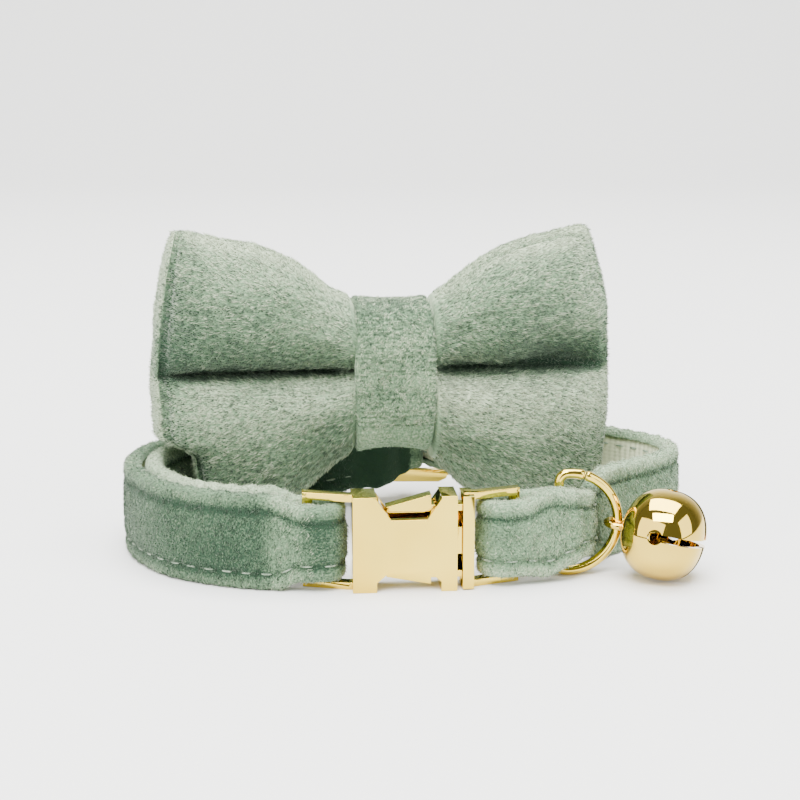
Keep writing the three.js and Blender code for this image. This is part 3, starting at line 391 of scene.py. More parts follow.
@dataclass
class Shading:
    """A material's node tree, with short ways to add to it."""

    name: str
    material: bpy.types.Material = field(init=False)

    def __post_init__(self) -> None:
        """Starts the material with its Principled shader."""
        self.material = bpy.data.materials.new(self.name)
        self.material.use_nodes = True

    @property
    def shader(self) -> bpy.types.Node:
        """The Principled shader."""
        return self.material.node_tree.nodes["Principled BSDF"]

    def node(self, kind: str, settings: dict | None = None, **inputs: object) -> bpy.types.Node:
        """Adds a node.

        Args:
            kind: the node's type, without its ShaderNode prefix.
            settings: its properties.
            inputs: a value or an output for each input, by its name with spaces as underscores.

        Returns:
            The node.
        """
        made = self.material.node_tree.nodes.new("ShaderNode" + kind)
        for key, value in (settings or {}).items():
            setattr(made, key, value)
        for key, value in inputs.items():
            self.feed(made, key.replace("_", " "), value)
        return made

    def feed(self, node: bpy.types.Node, socket: str | int, value: object) -> None:
        """Sets or links one input.

        Args:
            node: the node.
            socket: the input's name or number.
            value: a number, a colour or another node's output.
        """
        target = node.inputs[socket]
        if isinstance(value, bpy.types.NodeSocket):
            self.material.node_tree.links.new(value, target)
        else:
            target.default_value = (*value, 1) if target.type == "RGBA" else value

    def place(
        self, pattern: Pattern = Pattern.OBJECT, scale: tuple[float, float, float] = (1, 1, 1)
    ) -> bpy.types.NodeSocket:
        """Coordinates scaled to the pattern.

        Args:
            pattern: what they are measured on.
            scale: pattern units a metre on the object, or a millimetre on the surface.

        Returns:
            The output that gives them.
        """
        if pattern is Pattern.SURFACE:
            source = self.node("UVMap", {"uv_map": "pile"}).outputs["UV"]
        else:
            source = self.node("TexCoord").outputs["Object"]
        return self.node("Mapping", Vector=source, Scale=scale).outputs["Vector"]

    def stored(self, name: str) -> bpy.types.NodeSocket:
        """The number that the mesh stores under a name."""
        return self.node("Attribute", {"attribute_name": name}).outputs["Fac"]

    def noise(
        self, where: bpy.types.NodeSocket, scale: float, detail: float = 2, warp: float = 0
    ) -> bpy.types.NodeSocket:
        """Noise at the given coordinates."""
        made = self.node("TexNoise", Vector=where, Scale=scale, Detail=detail, Distortion=warp)
        return made.outputs["Fac"]

    def bands(
        self, where: bpy.types.NodeSocket, axis: str, scale: float, warp: float
    ) -> bpy.types.NodeSocket:
        """Waves that follow each other along an axis."""
        made = self.node("TexWave", {"bands_direction": axis}, Vector=where, Scale=scale, Distortion=warp)
        return made.outputs["Fac"]

    def ramp(self, value: bpy.types.NodeSocket, stops: list[tuple[float, Color]]) -> bpy.types.NodeSocket:
        """Colours for a value.

        Args:
            value: the value.
            stops: (place, colour) pairs.

        Returns:
            The colour.
        """
        made = self.node("ValToRGB", Fac=value)
        band = made.color_ramp
        while len(band.elements) < len(stops):
            band.elements.new(0.5)
        for element, (place, color) in zip(band.elements, stops):
            element.position = place
            element.color = (*color, 1)
        return made.outputs["Color"]

    def maths(self, operation: str, first: object, second: object) -> bpy.types.NodeSocket:
        """One step of arithmetic on two values, each a number or another node's output."""
        made = self.node("Math", {"operation": operation})
        self.feed(made, 0, first)
        self.feed(made, 1, second)
        return made.outputs[0]

    def total(self, *terms: tuple[bpy.types.NodeSocket, float]) -> bpy.types.NodeSocket:
        """The sum of some values, each times its share.

        Args:
            terms: (value, share) pairs.

        Returns:
            The sum.
        """
        made = self.maths("MULTIPLY", *terms[0])
        for term in terms[1:]:
            made = self.maths("ADD", made, self.maths("MULTIPLY", *term))
        return made

    def raise_by(self, height: bpy.types.NodeSocket, depth: float, strength: float = 1) -> None:
        """Bumps the surface by a height."""
        made = self.node("Bump", Height=height, Distance=depth * MM, Strength=strength)
        self.feed(self.shader, "Normal", made.outputs["Normal"])

    def settle(self, **values: object) -> bpy.types.Material:
        """Sets the shader's own sockets.

        Args:
            values: a value or an output for each, by its name with spaces as underscores.

        Returns:
            The material.
        """
        for key, value in values.items():
            self.feed(self.shader, key.replace("_", " "), value)
        return self.material


@dataclass(frozen=True)
class VelvetFinish:
    """Short-pile velvet: painted shade between the tufts and in hollows, painted light on the tips, with a
    soft sheen.
    """

    name: str
    deep: Color = (0.016, 0.042, 0.022)
    middle: Color = (0.135, 0.215, 0.125)
    pale: Color = (0.42, 0.49, 0.34)
    streak: tuple[float, float, float] = (0.9, 2.2, 1.0)
    sheen: float = 0.3
    sheen_tint: Color = (0.8, 0.93, 0.74)

    def cloth(self) -> bpy.types.Material:
        """The cloth under the tufts, streaked along the surface's first parameter.

        Returns:
            The material.
        """
        made = Shading(self.name)
        fine = made.noise(made.place(Pattern.SURFACE, self.streak), 3.2, 3, 0.3)
        broad = made.noise(made.place(), 130)
        # The stored tone carries painted light and shade besides random blotches.
        blend = made.total((fine, 0.72), (broad, 0.2), (made.stored("tone"), 0.4))
        color = made.ramp(blend, [(0.42, self.deep), (0.72, self.middle), (1.0, self.pale)])
        made.raise_by(fine, 0.2, 0.7)
        return made.settle(
            Base_Color=color,
            Roughness=0.9,
            Specular_IOR_Level=0.2,
            Sheen_Weight=self.sheen,
            Sheen_Roughness=0.4,
            Sheen_Tint=self.sheen_tint,
        )

    def tufts(self) -> bpy.types.Material:
        """The pile itself, coloured by the tint that each tuft carries, from painted shade at the root to
        painted light at the tip.

        Returns:
            The material.
        """
        made = Shading(self.name + "_pile")
        grain = made.maths("SUBTRACT", made.noise(made.place(), 900, 1), 0.5)
        value = made.total((made.stored("tint"), 1.0), (grain, 0.2))
        color = made.ramp(value, [(0.05, self.deep), (0.45, self.middle), (0.95, self.pale)])
        return made.settle(
            Base_Color=color,
            Roughness=0.85,
            Specular_IOR_Level=0.25,
            Sheen_Weight=self.sheen,
            Sheen_Roughness=0.35,
            Sheen_Tint=self.sheen_tint,
        )


@dataclass(frozen=True)
class WebbingFinish:
    """Cream polyester webbing, ribbed across and woven fine along its length."""

    name: str = "cream_webbing"
    light: Color = (0.6, 0.64, 0.43)
    shade: Color = (0.38, 0.43, 0.26)

    def material(self) -> bpy.types.Material:
        """Builds it.

        Returns:
            The material.
        """
        made = Shading(self.name)
        where = made.place(Pattern.SURFACE)
        ribs, yarns = made.bands(where, "X", 0.36, 0.6), made.bands(where, "Y", 0.75, 0.8)
        value = made.total((ribs, 0.35), (yarns, 0.15), (made.noise(where, 3, 3), 0.45))
        color = made.ramp(value, [(0.15, self.shade), (0.6, self.light)])
        made.raise_by(value, 0.12, 0.7)
        return made.settle(Base_Color=color, Roughness=0.82, Sheen_Weight=0.2, Sheen_Roughness=0.5)


@dataclass(frozen=True)
class KnitFinish:
    """Dark green knitted elastic, seen on the object's own coordinates."""

    name: str = "green_elastic"
    light: Color = (0.1, 0.15, 0.1)
    shade: Color = (0.03, 0.05, 0.03)

    def material(self) -> bpy.types.Material:
        """Builds it.

        Returns:
            The material.
        """
        made = Shading(self.name)
        where = made.place()
        knit = made.maths("MULTIPLY", made.bands(where, "X", 380, 0.4), made.bands(where, "Z", 520, 0.8))
        value = made.total((knit, 0.7), (made.noise(where, 2400), 0.4))
        color = made.ramp(value, [(0.1, self.shade), (0.7, self.light)])
        made.raise_by(value, 0.12, 0.8)
        return made.settle(Base_Color=color, Roughness=0.85, Sheen_Weight=0.2, Sheen_Roughness=0.5)


@dataclass(frozen=True)
class ThreadFinish:
    """Twisted sewing thread."""

    name: str
    light: Color = (0.3, 0.37, 0.27)
    shade: Color = (0.1, 0.16, 0.1)

    def material(self) -> bpy.types.Material:
        """Builds it.

        Returns:
            The material.
        """
        made = Shading(self.name)
        twist = made.noise(made.place(), 2600)
        made.raise_by(twist, 0.05, 0.6)
        color = made.ramp(twist, [(0.3, self.shade), (0.7, self.light)])
        return made.settle(Base_Color=color, Roughness=0.6, Sheen_Weight=0.15)


@dataclass(frozen=True)
class GiltFinish:
    """Pale gold plating: a mirror with faint handling marks and slow changes of colour."""

    name: str
    pale: Color = (0.8, 0.6, 0.1)
    warm: Color = (0.74, 0.52, 0.07)
    smooth: float = 0.05
    worn: float = 0.16

    def material(self) -> bpy.types.Material:
        """Builds it.

        Returns:
            The material.
        """
        made = Shading(self.name)
        where = made.place()
        marks = made.noise(where, 1500, 4, 0.4)
        color = made.ramp(made.noise(where, 90), [(0.35, self.warm), (0.65, self.pale)])
        worn = made.ramp(marks, [(0.45, (self.smooth,) * 3), (0.8, (self.worn,) * 3)])
        made.raise_by(made.noise(where, 420), 0.01, 0.35)
        return made.settle(Base_Color=color, Metallic=1.0, Roughness=worn)


@dataclass(frozen=True)
class SteelFinish:
    """Plain tumbled steel of the loose ball in the bell."""

    name: str = "pellet_steel"
    light: Color = (0.6, 0.6, 0.6)
    shade: Color = (0.36, 0.35, 0.34)

    def material(self) -> bpy.types.Material:
        """Builds it.

        Returns:
            The material.
        """
        made = Shading(self.name)
        color = made.ramp(made.noise(made.place(), 1800, 3), [(0.3, self.shade), (0.7, self.light)])
        return made.settle(Base_Color=color, Metallic=1.0, Roughness=0.32)


@dataclass(frozen=True)
class PaperFinish:
    """The pale floor under the collar."""

    name: str = "studio_floor"
    color: Color = (0.82, 0.82, 0.81)

    def material(self) -> bpy.types.Material:
        """Builds it."""
        return Shading(self.name).settle(Base_Color=self.color, Roughness=0.6, Specular_IOR_Level=0.3)


def dress(piece: bpy.types.Object, material: bpy.types.Material) -> None:
    """Gives a new piece its material.

    Args:
        piece: the piece.
        material: its material.
    """
    piece.data.materials.clear()
    piece.data.materials.append(material)


# ---------------------------------------------------------------- pile


@dataclass
class Pile:
    """Tufts on a surface, each a leaning three-sided spike with a closed foot."""

    length: float = 0.55
    radius: float = 0.075
    rise: float = 0.62
    sunk: float = 0.06
    streak: tuple[float, float, float] = (1.1, 0.5, 0.34)
    fan: float = 0.0
    hub: Array = field(default_factory=lambda: np.zeros(3))
    scatter: float = 0.5
    depth: float = 0.8
    # A share of tufts is darkened as painted shade in the gaps between clumps; foot_shade and tip_light are
    # painted shade at the roots and painted light at the tips.
    dark_share: float = 0.25
    contrast: float = 0.5
    speckle: float = 0.2
    foot_shade: float = -0.3
    tip_light: float = 0.28

    def grow(
        self,
        name: str,
        surface: Surface,
        count: int,
        lean: Callable[[Array], Array],
        weight: Callable[[Array, Array, Array], Array],
        seed: int,
    ) -> bpy.types.Object:
        """Places tufts at random over a surface's quads, by their areas and a weight.

        A tuft's tip is its foot plus its length times (rise along the normal + the rest along the lean),
        and each foot is a small triangle round the point, just under the surface.

        Args:
            name: the piece's name.
            surface: what they grow on.
            count: how many.
            lean: the direction in which the pile lies at given points.
            weight: how many grow at given points, rows and columns.
            seed: starts the random numbers.

        Returns:
            The piece.
        """
        rng = np.random.default_rng(seed)
        quads, r, c = surface.corners()
        flat = surface.points.reshape(-1, 3)
        a, b, d, e = (flat[quads[:, k]] for k in range(4))
        area = np.linalg.norm(np.cross(d - a, e - b), axis=1)
        share = area * weight((a + d) / 2, r[:, 0], c[:, 0])
        chosen = rng.choice(len(quads), size=count, p=share / share.sum())
        u, v = rng.random((2, count, 1))
        near, far = a[chosen] * (1 - v) + e[chosen] * v, b[chosen] * (1 - v) + d[chosen] * v
        foot = near * (1 - u) + far * u
        normal = surface.normals()[chosen]
        cells = (foot - self.hub) / np.array(self.streak)
        cells[:, 2] /= 1 + self.fan * np.abs(foot[:, 0] - self.hub[0])
        clumps = smoothstep(lattice_noise(cells, seed + 1), 0.2, 0.8)
        stray = np.stack([lattice_noise(cells + 31 * k, seed + 2) for k in range(3)], axis=-1) - 0.5
        away = lean(foot) + self.scatter * 2.4 * stray + self.scatter * (rng.random((count, 3)) - 0.5)
        away = unit(away - normal * np.sum(away * normal, axis=1, keepdims=True))
        side = np.cross(normal, away)
        size = self.length * (0.7 + 0.6 * rng.random((count, 1)))
        rise = self.rise * (0.75 + 0.5 * clumps[:, None])
        tip = foot + size * (rise * normal + np.sqrt(np.maximum(0.05, 1 - rise**2)) * away)
        base = foot - self.sunk * normal
        feet = [base + self.radius * (math.cos(t) * away + math.sin(t) * side) for t in circle(3)]
        points = np.stack([*feet, tip], axis=1).reshape(-1, 3)
        faces = np.array([[0, 1, 3], [1, 2, 3], [2, 0, 3], [0, 2, 1]])
        loops = (np.arange(count)[:, None, None] * 4 + faces).ravel()
        piece = new_mesh(name, points, loops, np.full(count * 4, 3))
        # Each tint: the surface's tone, painted light and shade included, with clump and random tone, painted
        # shade on a share of tufts, painted shade at the foot and painted light at the tip.
        broad = 0.5 if surface.tone is None else surface.tones()[quads[chosen, 0]]
        tone = broad + self.depth * (clumps - 0.5) + self.speckle * (rng.random(count) - 0.5)
        tone -= self.contrast * (rng.random(count) < self.dark_share)
        tint = np.stack([tone + self.foot_shade] * 3 + [tone + self.tip_light], axis=1)
        add_values(piece, "tint", tint.ravel())
        return piece


# ---------------------------------------------------------------- strap


@dataclass
class StrapPlan:
    """The way of the strap round the neck, worked out again from the part's own sizes."""

    width: float = 12.0
    thickness: float = 2.3
    clearance: float = 0.3
    loop_width: float = 73.0
    loop_depth: float = 43.4
    loop_centre: float = 0.9
    left_sweep: float = 8.0
    right_sweep: float = 19.0
    left_straight: float = 3.0
    right_straight: float = 6.9
    back_lift: float = 4.7
    back_reach: float = 24.0
    buckle_yaw: float = 5.0
    buckle_at: tuple[float, float] = (1.7, 0.2)
    buckle_height: float = 12.0
    crossbar: tuple[float, float] = (12.8, 3.9)
    crossbar_size: tuple[float, float] = (1.3, 1.1)
    frame_slot: float = 4.7
    fold_gap: float = 0.6
    ring_height: float = 13.8
    ring_wire: float = 1.25
    ring_from_fold: float = 8.3
    ring_crossing: float = 4.0
    ring_room: float = 1.35
    flap_past_ring: float = 1.8
    slider_x: float = 1.2
    slider_length: float = 12.2
    slider_bar: float = 1.0
    slim: float = 1.4
    slim_gap: float = 0.25
    step: float = 0.34
    plan: tuple[tuple[float, float], ...] = (
        (-0.56, 0.052), (-0.7, 0.1), (-0.815, 0.165), (-0.905, 0.26), (-0.97, 0.37), (-0.995, 0.49),
        (-0.975, 0.615), (-0.9, 0.75), (-0.76, 0.875), (-0.54, 0.957), (-0.27, 0.992), (0.03, 1.0),
        (0.33, 0.992), (0.6, 0.955), (0.8, 0.885), (0.92, 0.8), (0.985, 0.7), (0.983, 0.625), (0.94, 0.553),
        (0.863, 0.484), (0.762, 0.41), (0.685, 0.335), (0.641, 0.262), (0.625, 0.189),
    )
    fold_radius: float = field(init=False)
    beside_fold: float = field(init=False)
    hugging: float = field(init=False)
    fold_behind: float = field(init=False)
    left: dict[str, Array] = field(init=False)
    right: dict[str, Array] = field(init=False)
    s: Array = field(init=False)
    line: Array = field(init=False)
    outward: Array = field(init=False)
    length: float = field(init=False)
    ring_s: float = field(init=False)
    slider_s: float = field(init=False)
    slider_reach: float = field(init=False)
    slider_plane: float = field(init=False)
    wrap_radius: float = field(init=False)
    slider_hump: float = field(init=False)

    def __post_init__(self) -> None:
        """Works out the folds, the base line and the places along it."""
        layer_gap = math.hypot(*self.crossbar_size) + self.clearance
        self.fold_radius = (layer_gap + self.thickness) / 2
        self.beside_fold = layer_gap + self.thickness
        self.hugging = self.thickness + self.clearance + 0.15
        behind = self.frame_slot + self.crossbar_size[0] / 2 - self.fold_gap
        self.fold_behind = behind - self.thickness / 2 - self.fold_radius
        self.left = self.fold(-1, self.left_sweep)
        self.right = self.fold(1, self.right_sweep)
        self.s, self.line, self.outward = self.base_line()
        self.length = float(self.s[-1])
        self.ring_s = self.length - (self.ring_from_fold - self.fold_radius)
        back = self.line[:, 1] > self.loop_depth * 0.8
        self.slider_s = float(self.s[back][np.argmin(np.abs(self.line[back, 0] - self.slider_x))])
        self.slider_reach = (self.slider_length - self.slider_bar) / 2
        self.slider_plane = self.slider_bar / 2 + self.clearance + self.slim / 2
        self.wrap_radius = self.slider_bar / 2 + self.slim_gap + self.slim / 2
        self.slider_hump = self.slider_plane + self.wrap_radius + self.slim + self.slim_gap

    def fold(self, side: int, sweep: float) -> dict[str, Array]:
        """A fold round a crossbar.

        Args:
            side: -1 at the left, 1 at the right.
            sweep: how far back the strap leaves, in degrees.

        Returns:
            The bar's place, the fold's centre, the way out and the way that the front layer faces.
        """
        at = np.array([side * self.crossbar[0], self.crossbar[1]])
        bar = turned(at, self.buckle_yaw) + np.array(self.buckle_at)
        away = np.array([side * math.cos(math.radians(sweep)), math.sin(math.radians(sweep))])
        front = side * np.array([away[1], -away[0]])
        return {"bar": bar, "centre": bar - away * self.fold_behind, "away": away, "front": front}

    def base_line(self) -> tuple[Array, Array, Array]:
        """The plan of the outer layer.

        Returns:
            Distances along it, its points and the directions out of it.
        """

        def at_bar(fold: dict[str, Array], along: float) -> Array:
            """A point of the layer that leaves a fold, so far past its bar."""
            return fold["bar"] + fold["front"] * self.fold_radius + fold["away"] * along

        shares = np.array(self.plan)
        across = self.loop_centre + shares[:, 0] * self.loop_width / 2
        loop = np.stack([across, shares[:, 1] * self.loop_depth], axis=1)
        starts = [at_bar(self.left, 0), at_bar(self.left, self.left_straight)]
        ends = [at_bar(self.right, self.right_straight * share) for share in (1, 0.58, 0)]
        dense = centripetal(np.array([*starts, *loop, *ends]))
        far = lengths_along(dense)
        s = np.linspace(0, far[-1], 1801)
        line = np.stack([np.interp(s, far, dense[:, k]) for k in (0, 1)], axis=1)
        padded = np.concatenate([line[:1].repeat(4, 0), line, line[-1:].repeat(4, 0)])
        along = unit(padded[8:] - padded[:-8])
        return s, line, np.stack([-along[:, 1], along[:, 0]], axis=1)

    def on_base(self, s: Array, offset: Array | float = 0.0) -> Array:
        """Plan points beside the base line.

        Args:
            s: distances along it.
            offset: how far out of it.

        Returns:
            The points.
        """
        at = np.clip(s, 0, self.length)
        point = np.stack([np.interp(at, self.s, self.line[:, k]) for k in (0, 1)], axis=-1)
        out = unit(np.stack([np.interp(at, self.s, self.outward[:, k]) for k in (0, 1)], axis=-1))
        return point + out * np.asarray(offset)[..., None]

    def outer_offset(self, s: Array) -> Array:
        """How far the outer layer climbs out of the base line over the slider's middle bar."""
        start, end = 1.2, self.slider_reach - self.slider_bar / 2 - 0.2
        return self.slider_hump * bump(np.maximum(0, np.abs(s - self.slider_s) - start), end - start)

    def inner_offset(self, s: Array) -> Array:
        """How far inside the base line the returning layer lies."""
        near_fold = self.beside_fold + (self.hugging - self.beside_fold) * smoothstep(s, 1.5, 13)
        pressed = self.slim + self.clearance + 0.35
        touching = self.wrap_radius - self.slider_plane
        reach = 11.5
        rows = [(0, touching), (1, 0.15), (4.1, pressed), (6.4, pressed), (reach, self.hugging)]
        near_slider = eased_table(self.slider_s - s, rows)
        return -np.where(self.slider_s - s < reach, near_slider, near_fold)

    def thickness_at(self, s: Array) -> Array:
        """The strap's thickness, pressed thin where it passes the slider."""
        eased = smoothstep(np.abs(s - self.slider_s), self.slider_reach + 0.8, self.slider_reach + 5)
        return self.slim + (self.thickness - self.slim) * eased

    def width_at(self, s: Array, squeezed_to: float) -> Array:
        """The strap's width, squeezed in the buckle's slots and in the ring.

        Args:
            s: distances along the base line.
            squeezed_to: where it begins to spread beside the left slot.

        Returns:
            The widths.
        """
        slot = self.buckle_height - 1.8 - 2 * self.clearance
        ringed = self.ring_height - 2 * self.ring_wire - 2 * self.ring_room
        to_ring = self.length - self.ring_s
        rows = [
            (0, slot), (4, self.width - 0.8), (to_ring + 0.5, ringed + 1.2), (to_ring + 2.4, ringed),
            (to_ring + self.ring_crossing + 1.6, ringed), (to_ring + self.ring_crossing + 8, self.width),
        ]
        left = slot + (self.width - slot) * smoothstep(s, squeezed_to, squeezed_to + 3.5)
        return np.minimum(left, eased_table(self.length - s, rows))

    def sag(self, x: Array) -> Array:
        """How far the inner layer sags beside the slider, by its place in the frame of the buckle."""
        return 1.3 * smoothstep(x, -10.2, -7.8) * (1 - smoothstep(x, -7.8, 0.4)) ** 0.8

    def centre_at(self, s: Array) -> Array:
        """The height of the strap's middle, lifted at the back and in the ring."""
        at = self.on_base(s)
        from_slider = np.maximum(0, np.abs(at[..., 0] - self.slider_x) - self.slider_length / 2 - 1)
        back = np.where(at[..., 1] > self.loop_depth / 2, bump(from_slider, self.back_reach), 0)
        ring = (self.ring_height - self.width) / 2 * bump(s - self.ring_s + self.ring_crossing / 2, 9)
        return self.width / 2 + self.back_lift * back + ring


@dataclass
class Route:
    """The strap's whole way as arrays: plan points, the way the velvet faces, and the section's sizes."""

    point: Array
    velvet: Array
    z: Array
    width: Array
    thickness: Array
    base: Array
    layer: Array
    run: Array = field(init=False)

    def __post_init__(self) -> None:
        """Measures the distance along the way."""
        self.run = lengths_along(self.point)

    def place(self, height: Array, depth: Array) -> Array:
        """Points of a section carried along the way.

        Args:
            height: heights above the strap's middle, one row a station.
            depth: distances from its middle plane to the velvet side.

        Returns:
            The points, in the buckle's coordinates.
        """
        x = self.point[:, :1] + self.velvet[:, :1] * depth
        y = self.point[:, 1:] + self.velvet[:, 1:] * depth
        return np.stack([x, y, self.z[:, None] + height], axis=-1)


class Layer(Enum):
    """The stretches of the strap, in their order along it."""

    FLAP = 0
    RIGHT_TURN = 1
    OUTER = 2
    LEFT_TURN = 3
    INNER = 4
    WRAP = 5


@dataclass
class Strap:
    """The velvet sleeve, the webbing in it, its stitches and its pile."""

    origin: Array
    plan: StrapPlan = field(default_factory=StrapPlan)
    velvet: float = 1.0
    margin: float = 0.95
    edge_radius: float = 0.85
    seam_inset: float = 2.15
    seam_depth: float = 0.34
    seam_width: float = 0.34
    stitch_pitch: float = 2.5
    stitch_length: float = 1.55
    thread: float = 0.14
    rib_pitch: float = 0.95
    sag: float = 2.3
    wrap_step: float = 0.3
    webbing_gap: float = 0.15
    webbing_seam_inset: float = 1.1
    rib_depth: float = 0.1
    face_columns: int = 14
    edge_columns: int = 4
    crown: float = 0.1
    wrinkle: float = 0.13
    wrinkle_beat: float = 3.1
    fuzz: float = 0.1
    edge_wave: float = 0.1
    flap_edge_from_ring: float = 4.5
    flap_edge_slope: float = 0.13
    flap_step: float = 0.5
    stitch_sides: int = 6
    first_stitch: float = 0.6
    upper_stitch_sunk: float = 0.42
    lower_stitch_sunk: float = 0.17
    stitch_dip: float = 0.2
    webbing_stitch_dip: float = 0.16
    pile_from_thickness: float = 1.9
    # Painted light and shade on the strap's velvet: painted shade on the left of the front, under the bow and
    # in the left turn, painted light on the right of the front; the inner layer a little paler.
    left_tone: float = -0.5
    right_tone: float = 0.06
    window_tone: float = -1.05
    inner_tone: float = 0.15
    turn_tone: float = -0.35

    def route(self, step: float) -> Route:
        """Lays the strap from the flap in the ring to the slider's middle bar.

        Args:
            step: the distance between stations.

        Returns:
            The way.
        """
        p = self.plan
        rows: list[tuple[Array, Array, Array, float, Layer]] = []

        def turn(fold: dict[str, Array], s: float, angles: Array, layer: Layer) -> None:
            """Adds a half circle round a fold's centre."""
            out = fold["front"] * np.cos(angles)[:, None] - fold["away"] * np.sin(angles)[:, None]
            rows.append((fold["centre"] + out * p.fold_radius, out, np.full(len(angles), s), 1.5, layer))

        def run(
            s: Array, offset: Callable[[Array], Array], facing: int, squeezed_to: float, layer: Layer
        ) -> None:
            """Adds a stretch beside the base line, facing across its own direction."""
            gap = 0.2
            ahead = p.on_base(s + gap, offset(s + gap)) - p.on_base(s - gap, offset(s - gap))
            out = unit(np.stack([-ahead[:, 1], ahead[:, 0]], axis=1)) * facing
            rows.append((p.on_base(s, offset(s)), out, s, squeezed_to, layer))

        flap_end = p.length - p.ring_s + p.flap_past_ring
        far = np.arange(flap_end, 0.2, -step)
        inside = -p.right["front"]
        flap = p.right["bar"] + p.right["away"] * far[:, None] + inside * p.fold_radius
        rows.append((flap, np.tile(inside, (len(far), 1)), np.full(len(far), p.length), 1.5, Layer.FLAP))
        half_turn = np.linspace(0, math.pi, max(8, int(math.pi * p.fold_radius / step)))
        turn(p.right, p.length, half_turn[::-1], Layer.RIGHT_TURN)
        run(np.arange(p.length - 0.4, 0.4, -step), p.outer_offset, 1, 0.2, Layer.OUTER)
        turn(p.left, 0.0, half_turn, Layer.LEFT_TURN)
        run(np.arange(0.4, p.slider_s - 0.2, step), p.inner_offset, -1, 1.5, Layer.INNER)
        middle = p.on_base(np.array(p.slider_s), p.slider_plane)
        outward = unit(p.on_base(np.array(p.slider_s), 1.0) - p.on_base(np.array(p.slider_s)))
        ahead = np.array([outward[1], -outward[0]])
        angles = np.linspace(0, math.pi, int(math.pi * p.wrap_radius / min(step, self.wrap_step)))[1:]
        out = -outward * np.cos(angles)[:, None] + ahead * np.sin(angles)[:, None]
        rows.append((middle + out * p.wrap_radius, out, np.full(len(angles), p.slider_s), 1.5, Layer.WRAP))
        return Route(
            point=np.concatenate([r[0] for r in rows]),
            velvet=unit(np.concatenate([r[1] for r in rows])),
            z=np.concatenate([p.centre_at(r[2]) - (r[4] is Layer.INNER) * self.low(r[0]) for r in rows]),
            width=np.concatenate([p.width_at(r[2], r[3]) for r in rows]),
            thickness=np.concatenate([p.thickness_at(r[2]) for r in rows]),
            base=np.concatenate([r[2] for r in rows]),
            layer=np.concatenate([np.full(len(r[2]), r[4].value) for r in rows]),
        )

    def low(self, point: Array) -> Array:
        """How far the inner layer sags in front of the slider, and not at all at the front of the loop.

        Args:
            point: plan points of the layer.

        Returns:
            The sags.
        """
        x = point[:, 0]
        sag = self.sag * smoothstep(x, -17, -11) * (1 - smoothstep(x, -3.5, 2.5))
        return np.maximum(sag, self.plan.sag(x)) * (point[:, 1] > self.plan.loop_depth / 2)

    def relief(self, way: Route, height: Array) -> Array:
        """How far the velvet's face stands out of its plain section.

        It is minus a bell curve along each seam line, deeper at each stitch, plus a soft crown between the
        seams, and plus upright wrinkles where the strap is squeezed.

        Args:
            way: the strap's way.
            height: heights above the strap's middle, one row a station.

        Returns:
            The relief.
        """
        half = way.width[:, None] / 2
        beat = 0.5 + 0.5 * np.cos(2 * np.pi * way.run[:, None] / self.stitch_pitch)
        seam = ridge(np.abs(height) - (half - self.seam_inset), self.seam_width)
        free = (way.thickness[:, None] - self.plan.slim) / (self.plan.thickness - self.plan.slim)
        squeeze = 1 - np.clip((way.width[:, None] - 9.2) / (self.plan.width - 9.6), 0, 1)
        waves = np.sin(way.run[:, None] * self.wrinkle_beat + 0.9 * np.sin(height * 0.9))
        past = self.past_flap(way, height)
        wrinkle = waves * self.wrinkle * squeeze * (1 - (height / half) ** 2) * (1 + 1.5 * past)
        wrinkle = wrinkle - self.flap_step * past
        crown = self.crown * (1 - (height / np.maximum(half - self.seam_inset, 1)) ** 2).clip(-0.4, 1)
        return free * (crown - self.seam_depth * seam * (0.55 + 0.45 * beat) + wrinkle)

    def past_flap(self, way: Route, height: Array) -> Array:
        """Where the outer layer has come out from beside the ring: past a slanting edge, until it evens out.

        Args:
            way: the strap's way.
            height: heights above the strap's middle, one row a station.

        Returns:
            Shares from 0 to 1.
        """
        past = (self.plan.ring_s - way.base)[:, None] - self.flap_edge_from_ring
        past = past + self.flap_edge_slope * height
        outer = (way.layer == Layer.OUTER.value)[:, None]
        return outer * smoothstep(past, -0.1, 0.3) * (1 - smoothstep(past, 2.2, 6.5))

    def sleeve(self) -> Surface:
        """The velvet sleeve's surface.

        Its section is a C: the face with its relief, two rounded edges and two margins on the neck side.

        Returns:
            The surface.
        """
        way = self.route(self.plan.step)
        half = way.width[:, None] / 2
        face = way.thickness[:, None] / 2
        inside = face - self.velvet * way.thickness[:, None] / self.plan.thickness
        corner = np.minimum(self.edge_radius, face * 0.98)
        wave = self.edge_wave * np.sin(2 * np.pi * way.run[:, None] / self.stitch_pitch)
        top = half + wave * np.clip(way.width[:, None] - 10.5, 0, 1)
        across = (top - corner) * np.linspace(0, 1, self.face_columns + 1)[1:]
        down = np.radians(np.linspace(0, 90, self.edge_columns + 1))[1:]

        def edge(angle: Array, depth: Array) -> tuple[Array, Array]:
            """A quarter circle at the strap's edge, as heights and depths."""
            return top - corner + corner * np.sin(angle), depth + corner * np.cos(angle)

        front_h, front_d = edge(down, face - corner)
        back_h, back_d = edge(down + np.pi / 2, corner - face)
        margin = half - self.margin
        heights = np.concatenate([across, front_h, back_h, margin, margin, margin * 0.5], axis=1)
        front = face + self.relief(way, across)
        rounded = front_d + self.relief(way, front_h) * np.cos(down)
        depths = np.concatenate([front, rounded, back_d, -face, inside, inside], axis=1)
        level = np.zeros_like(face)
        height = np.concatenate([heights, level, -heights[:, ::-1], level], axis=1)
        depth = np.concatenate([depths, inside, depths[:, ::-1], face + self.relief(way, level)], axis=1)
        places = np.broadcast_arrays(way.run[:, None] / 0.9, height / 0.7, depth)
        fuzz = lattice_noise(np.stack(places, axis=-1), 5)
        depth = depth + np.where(depth > 0.4 * face, self.fuzz * (fuzz - 0.5), 0)
        points = way.place(height, depth) + self.origin
        tone = self.nap(way, height, points)
        return Surface(points, along=way.run, around=lengths_round(height, depth), tone=tone)

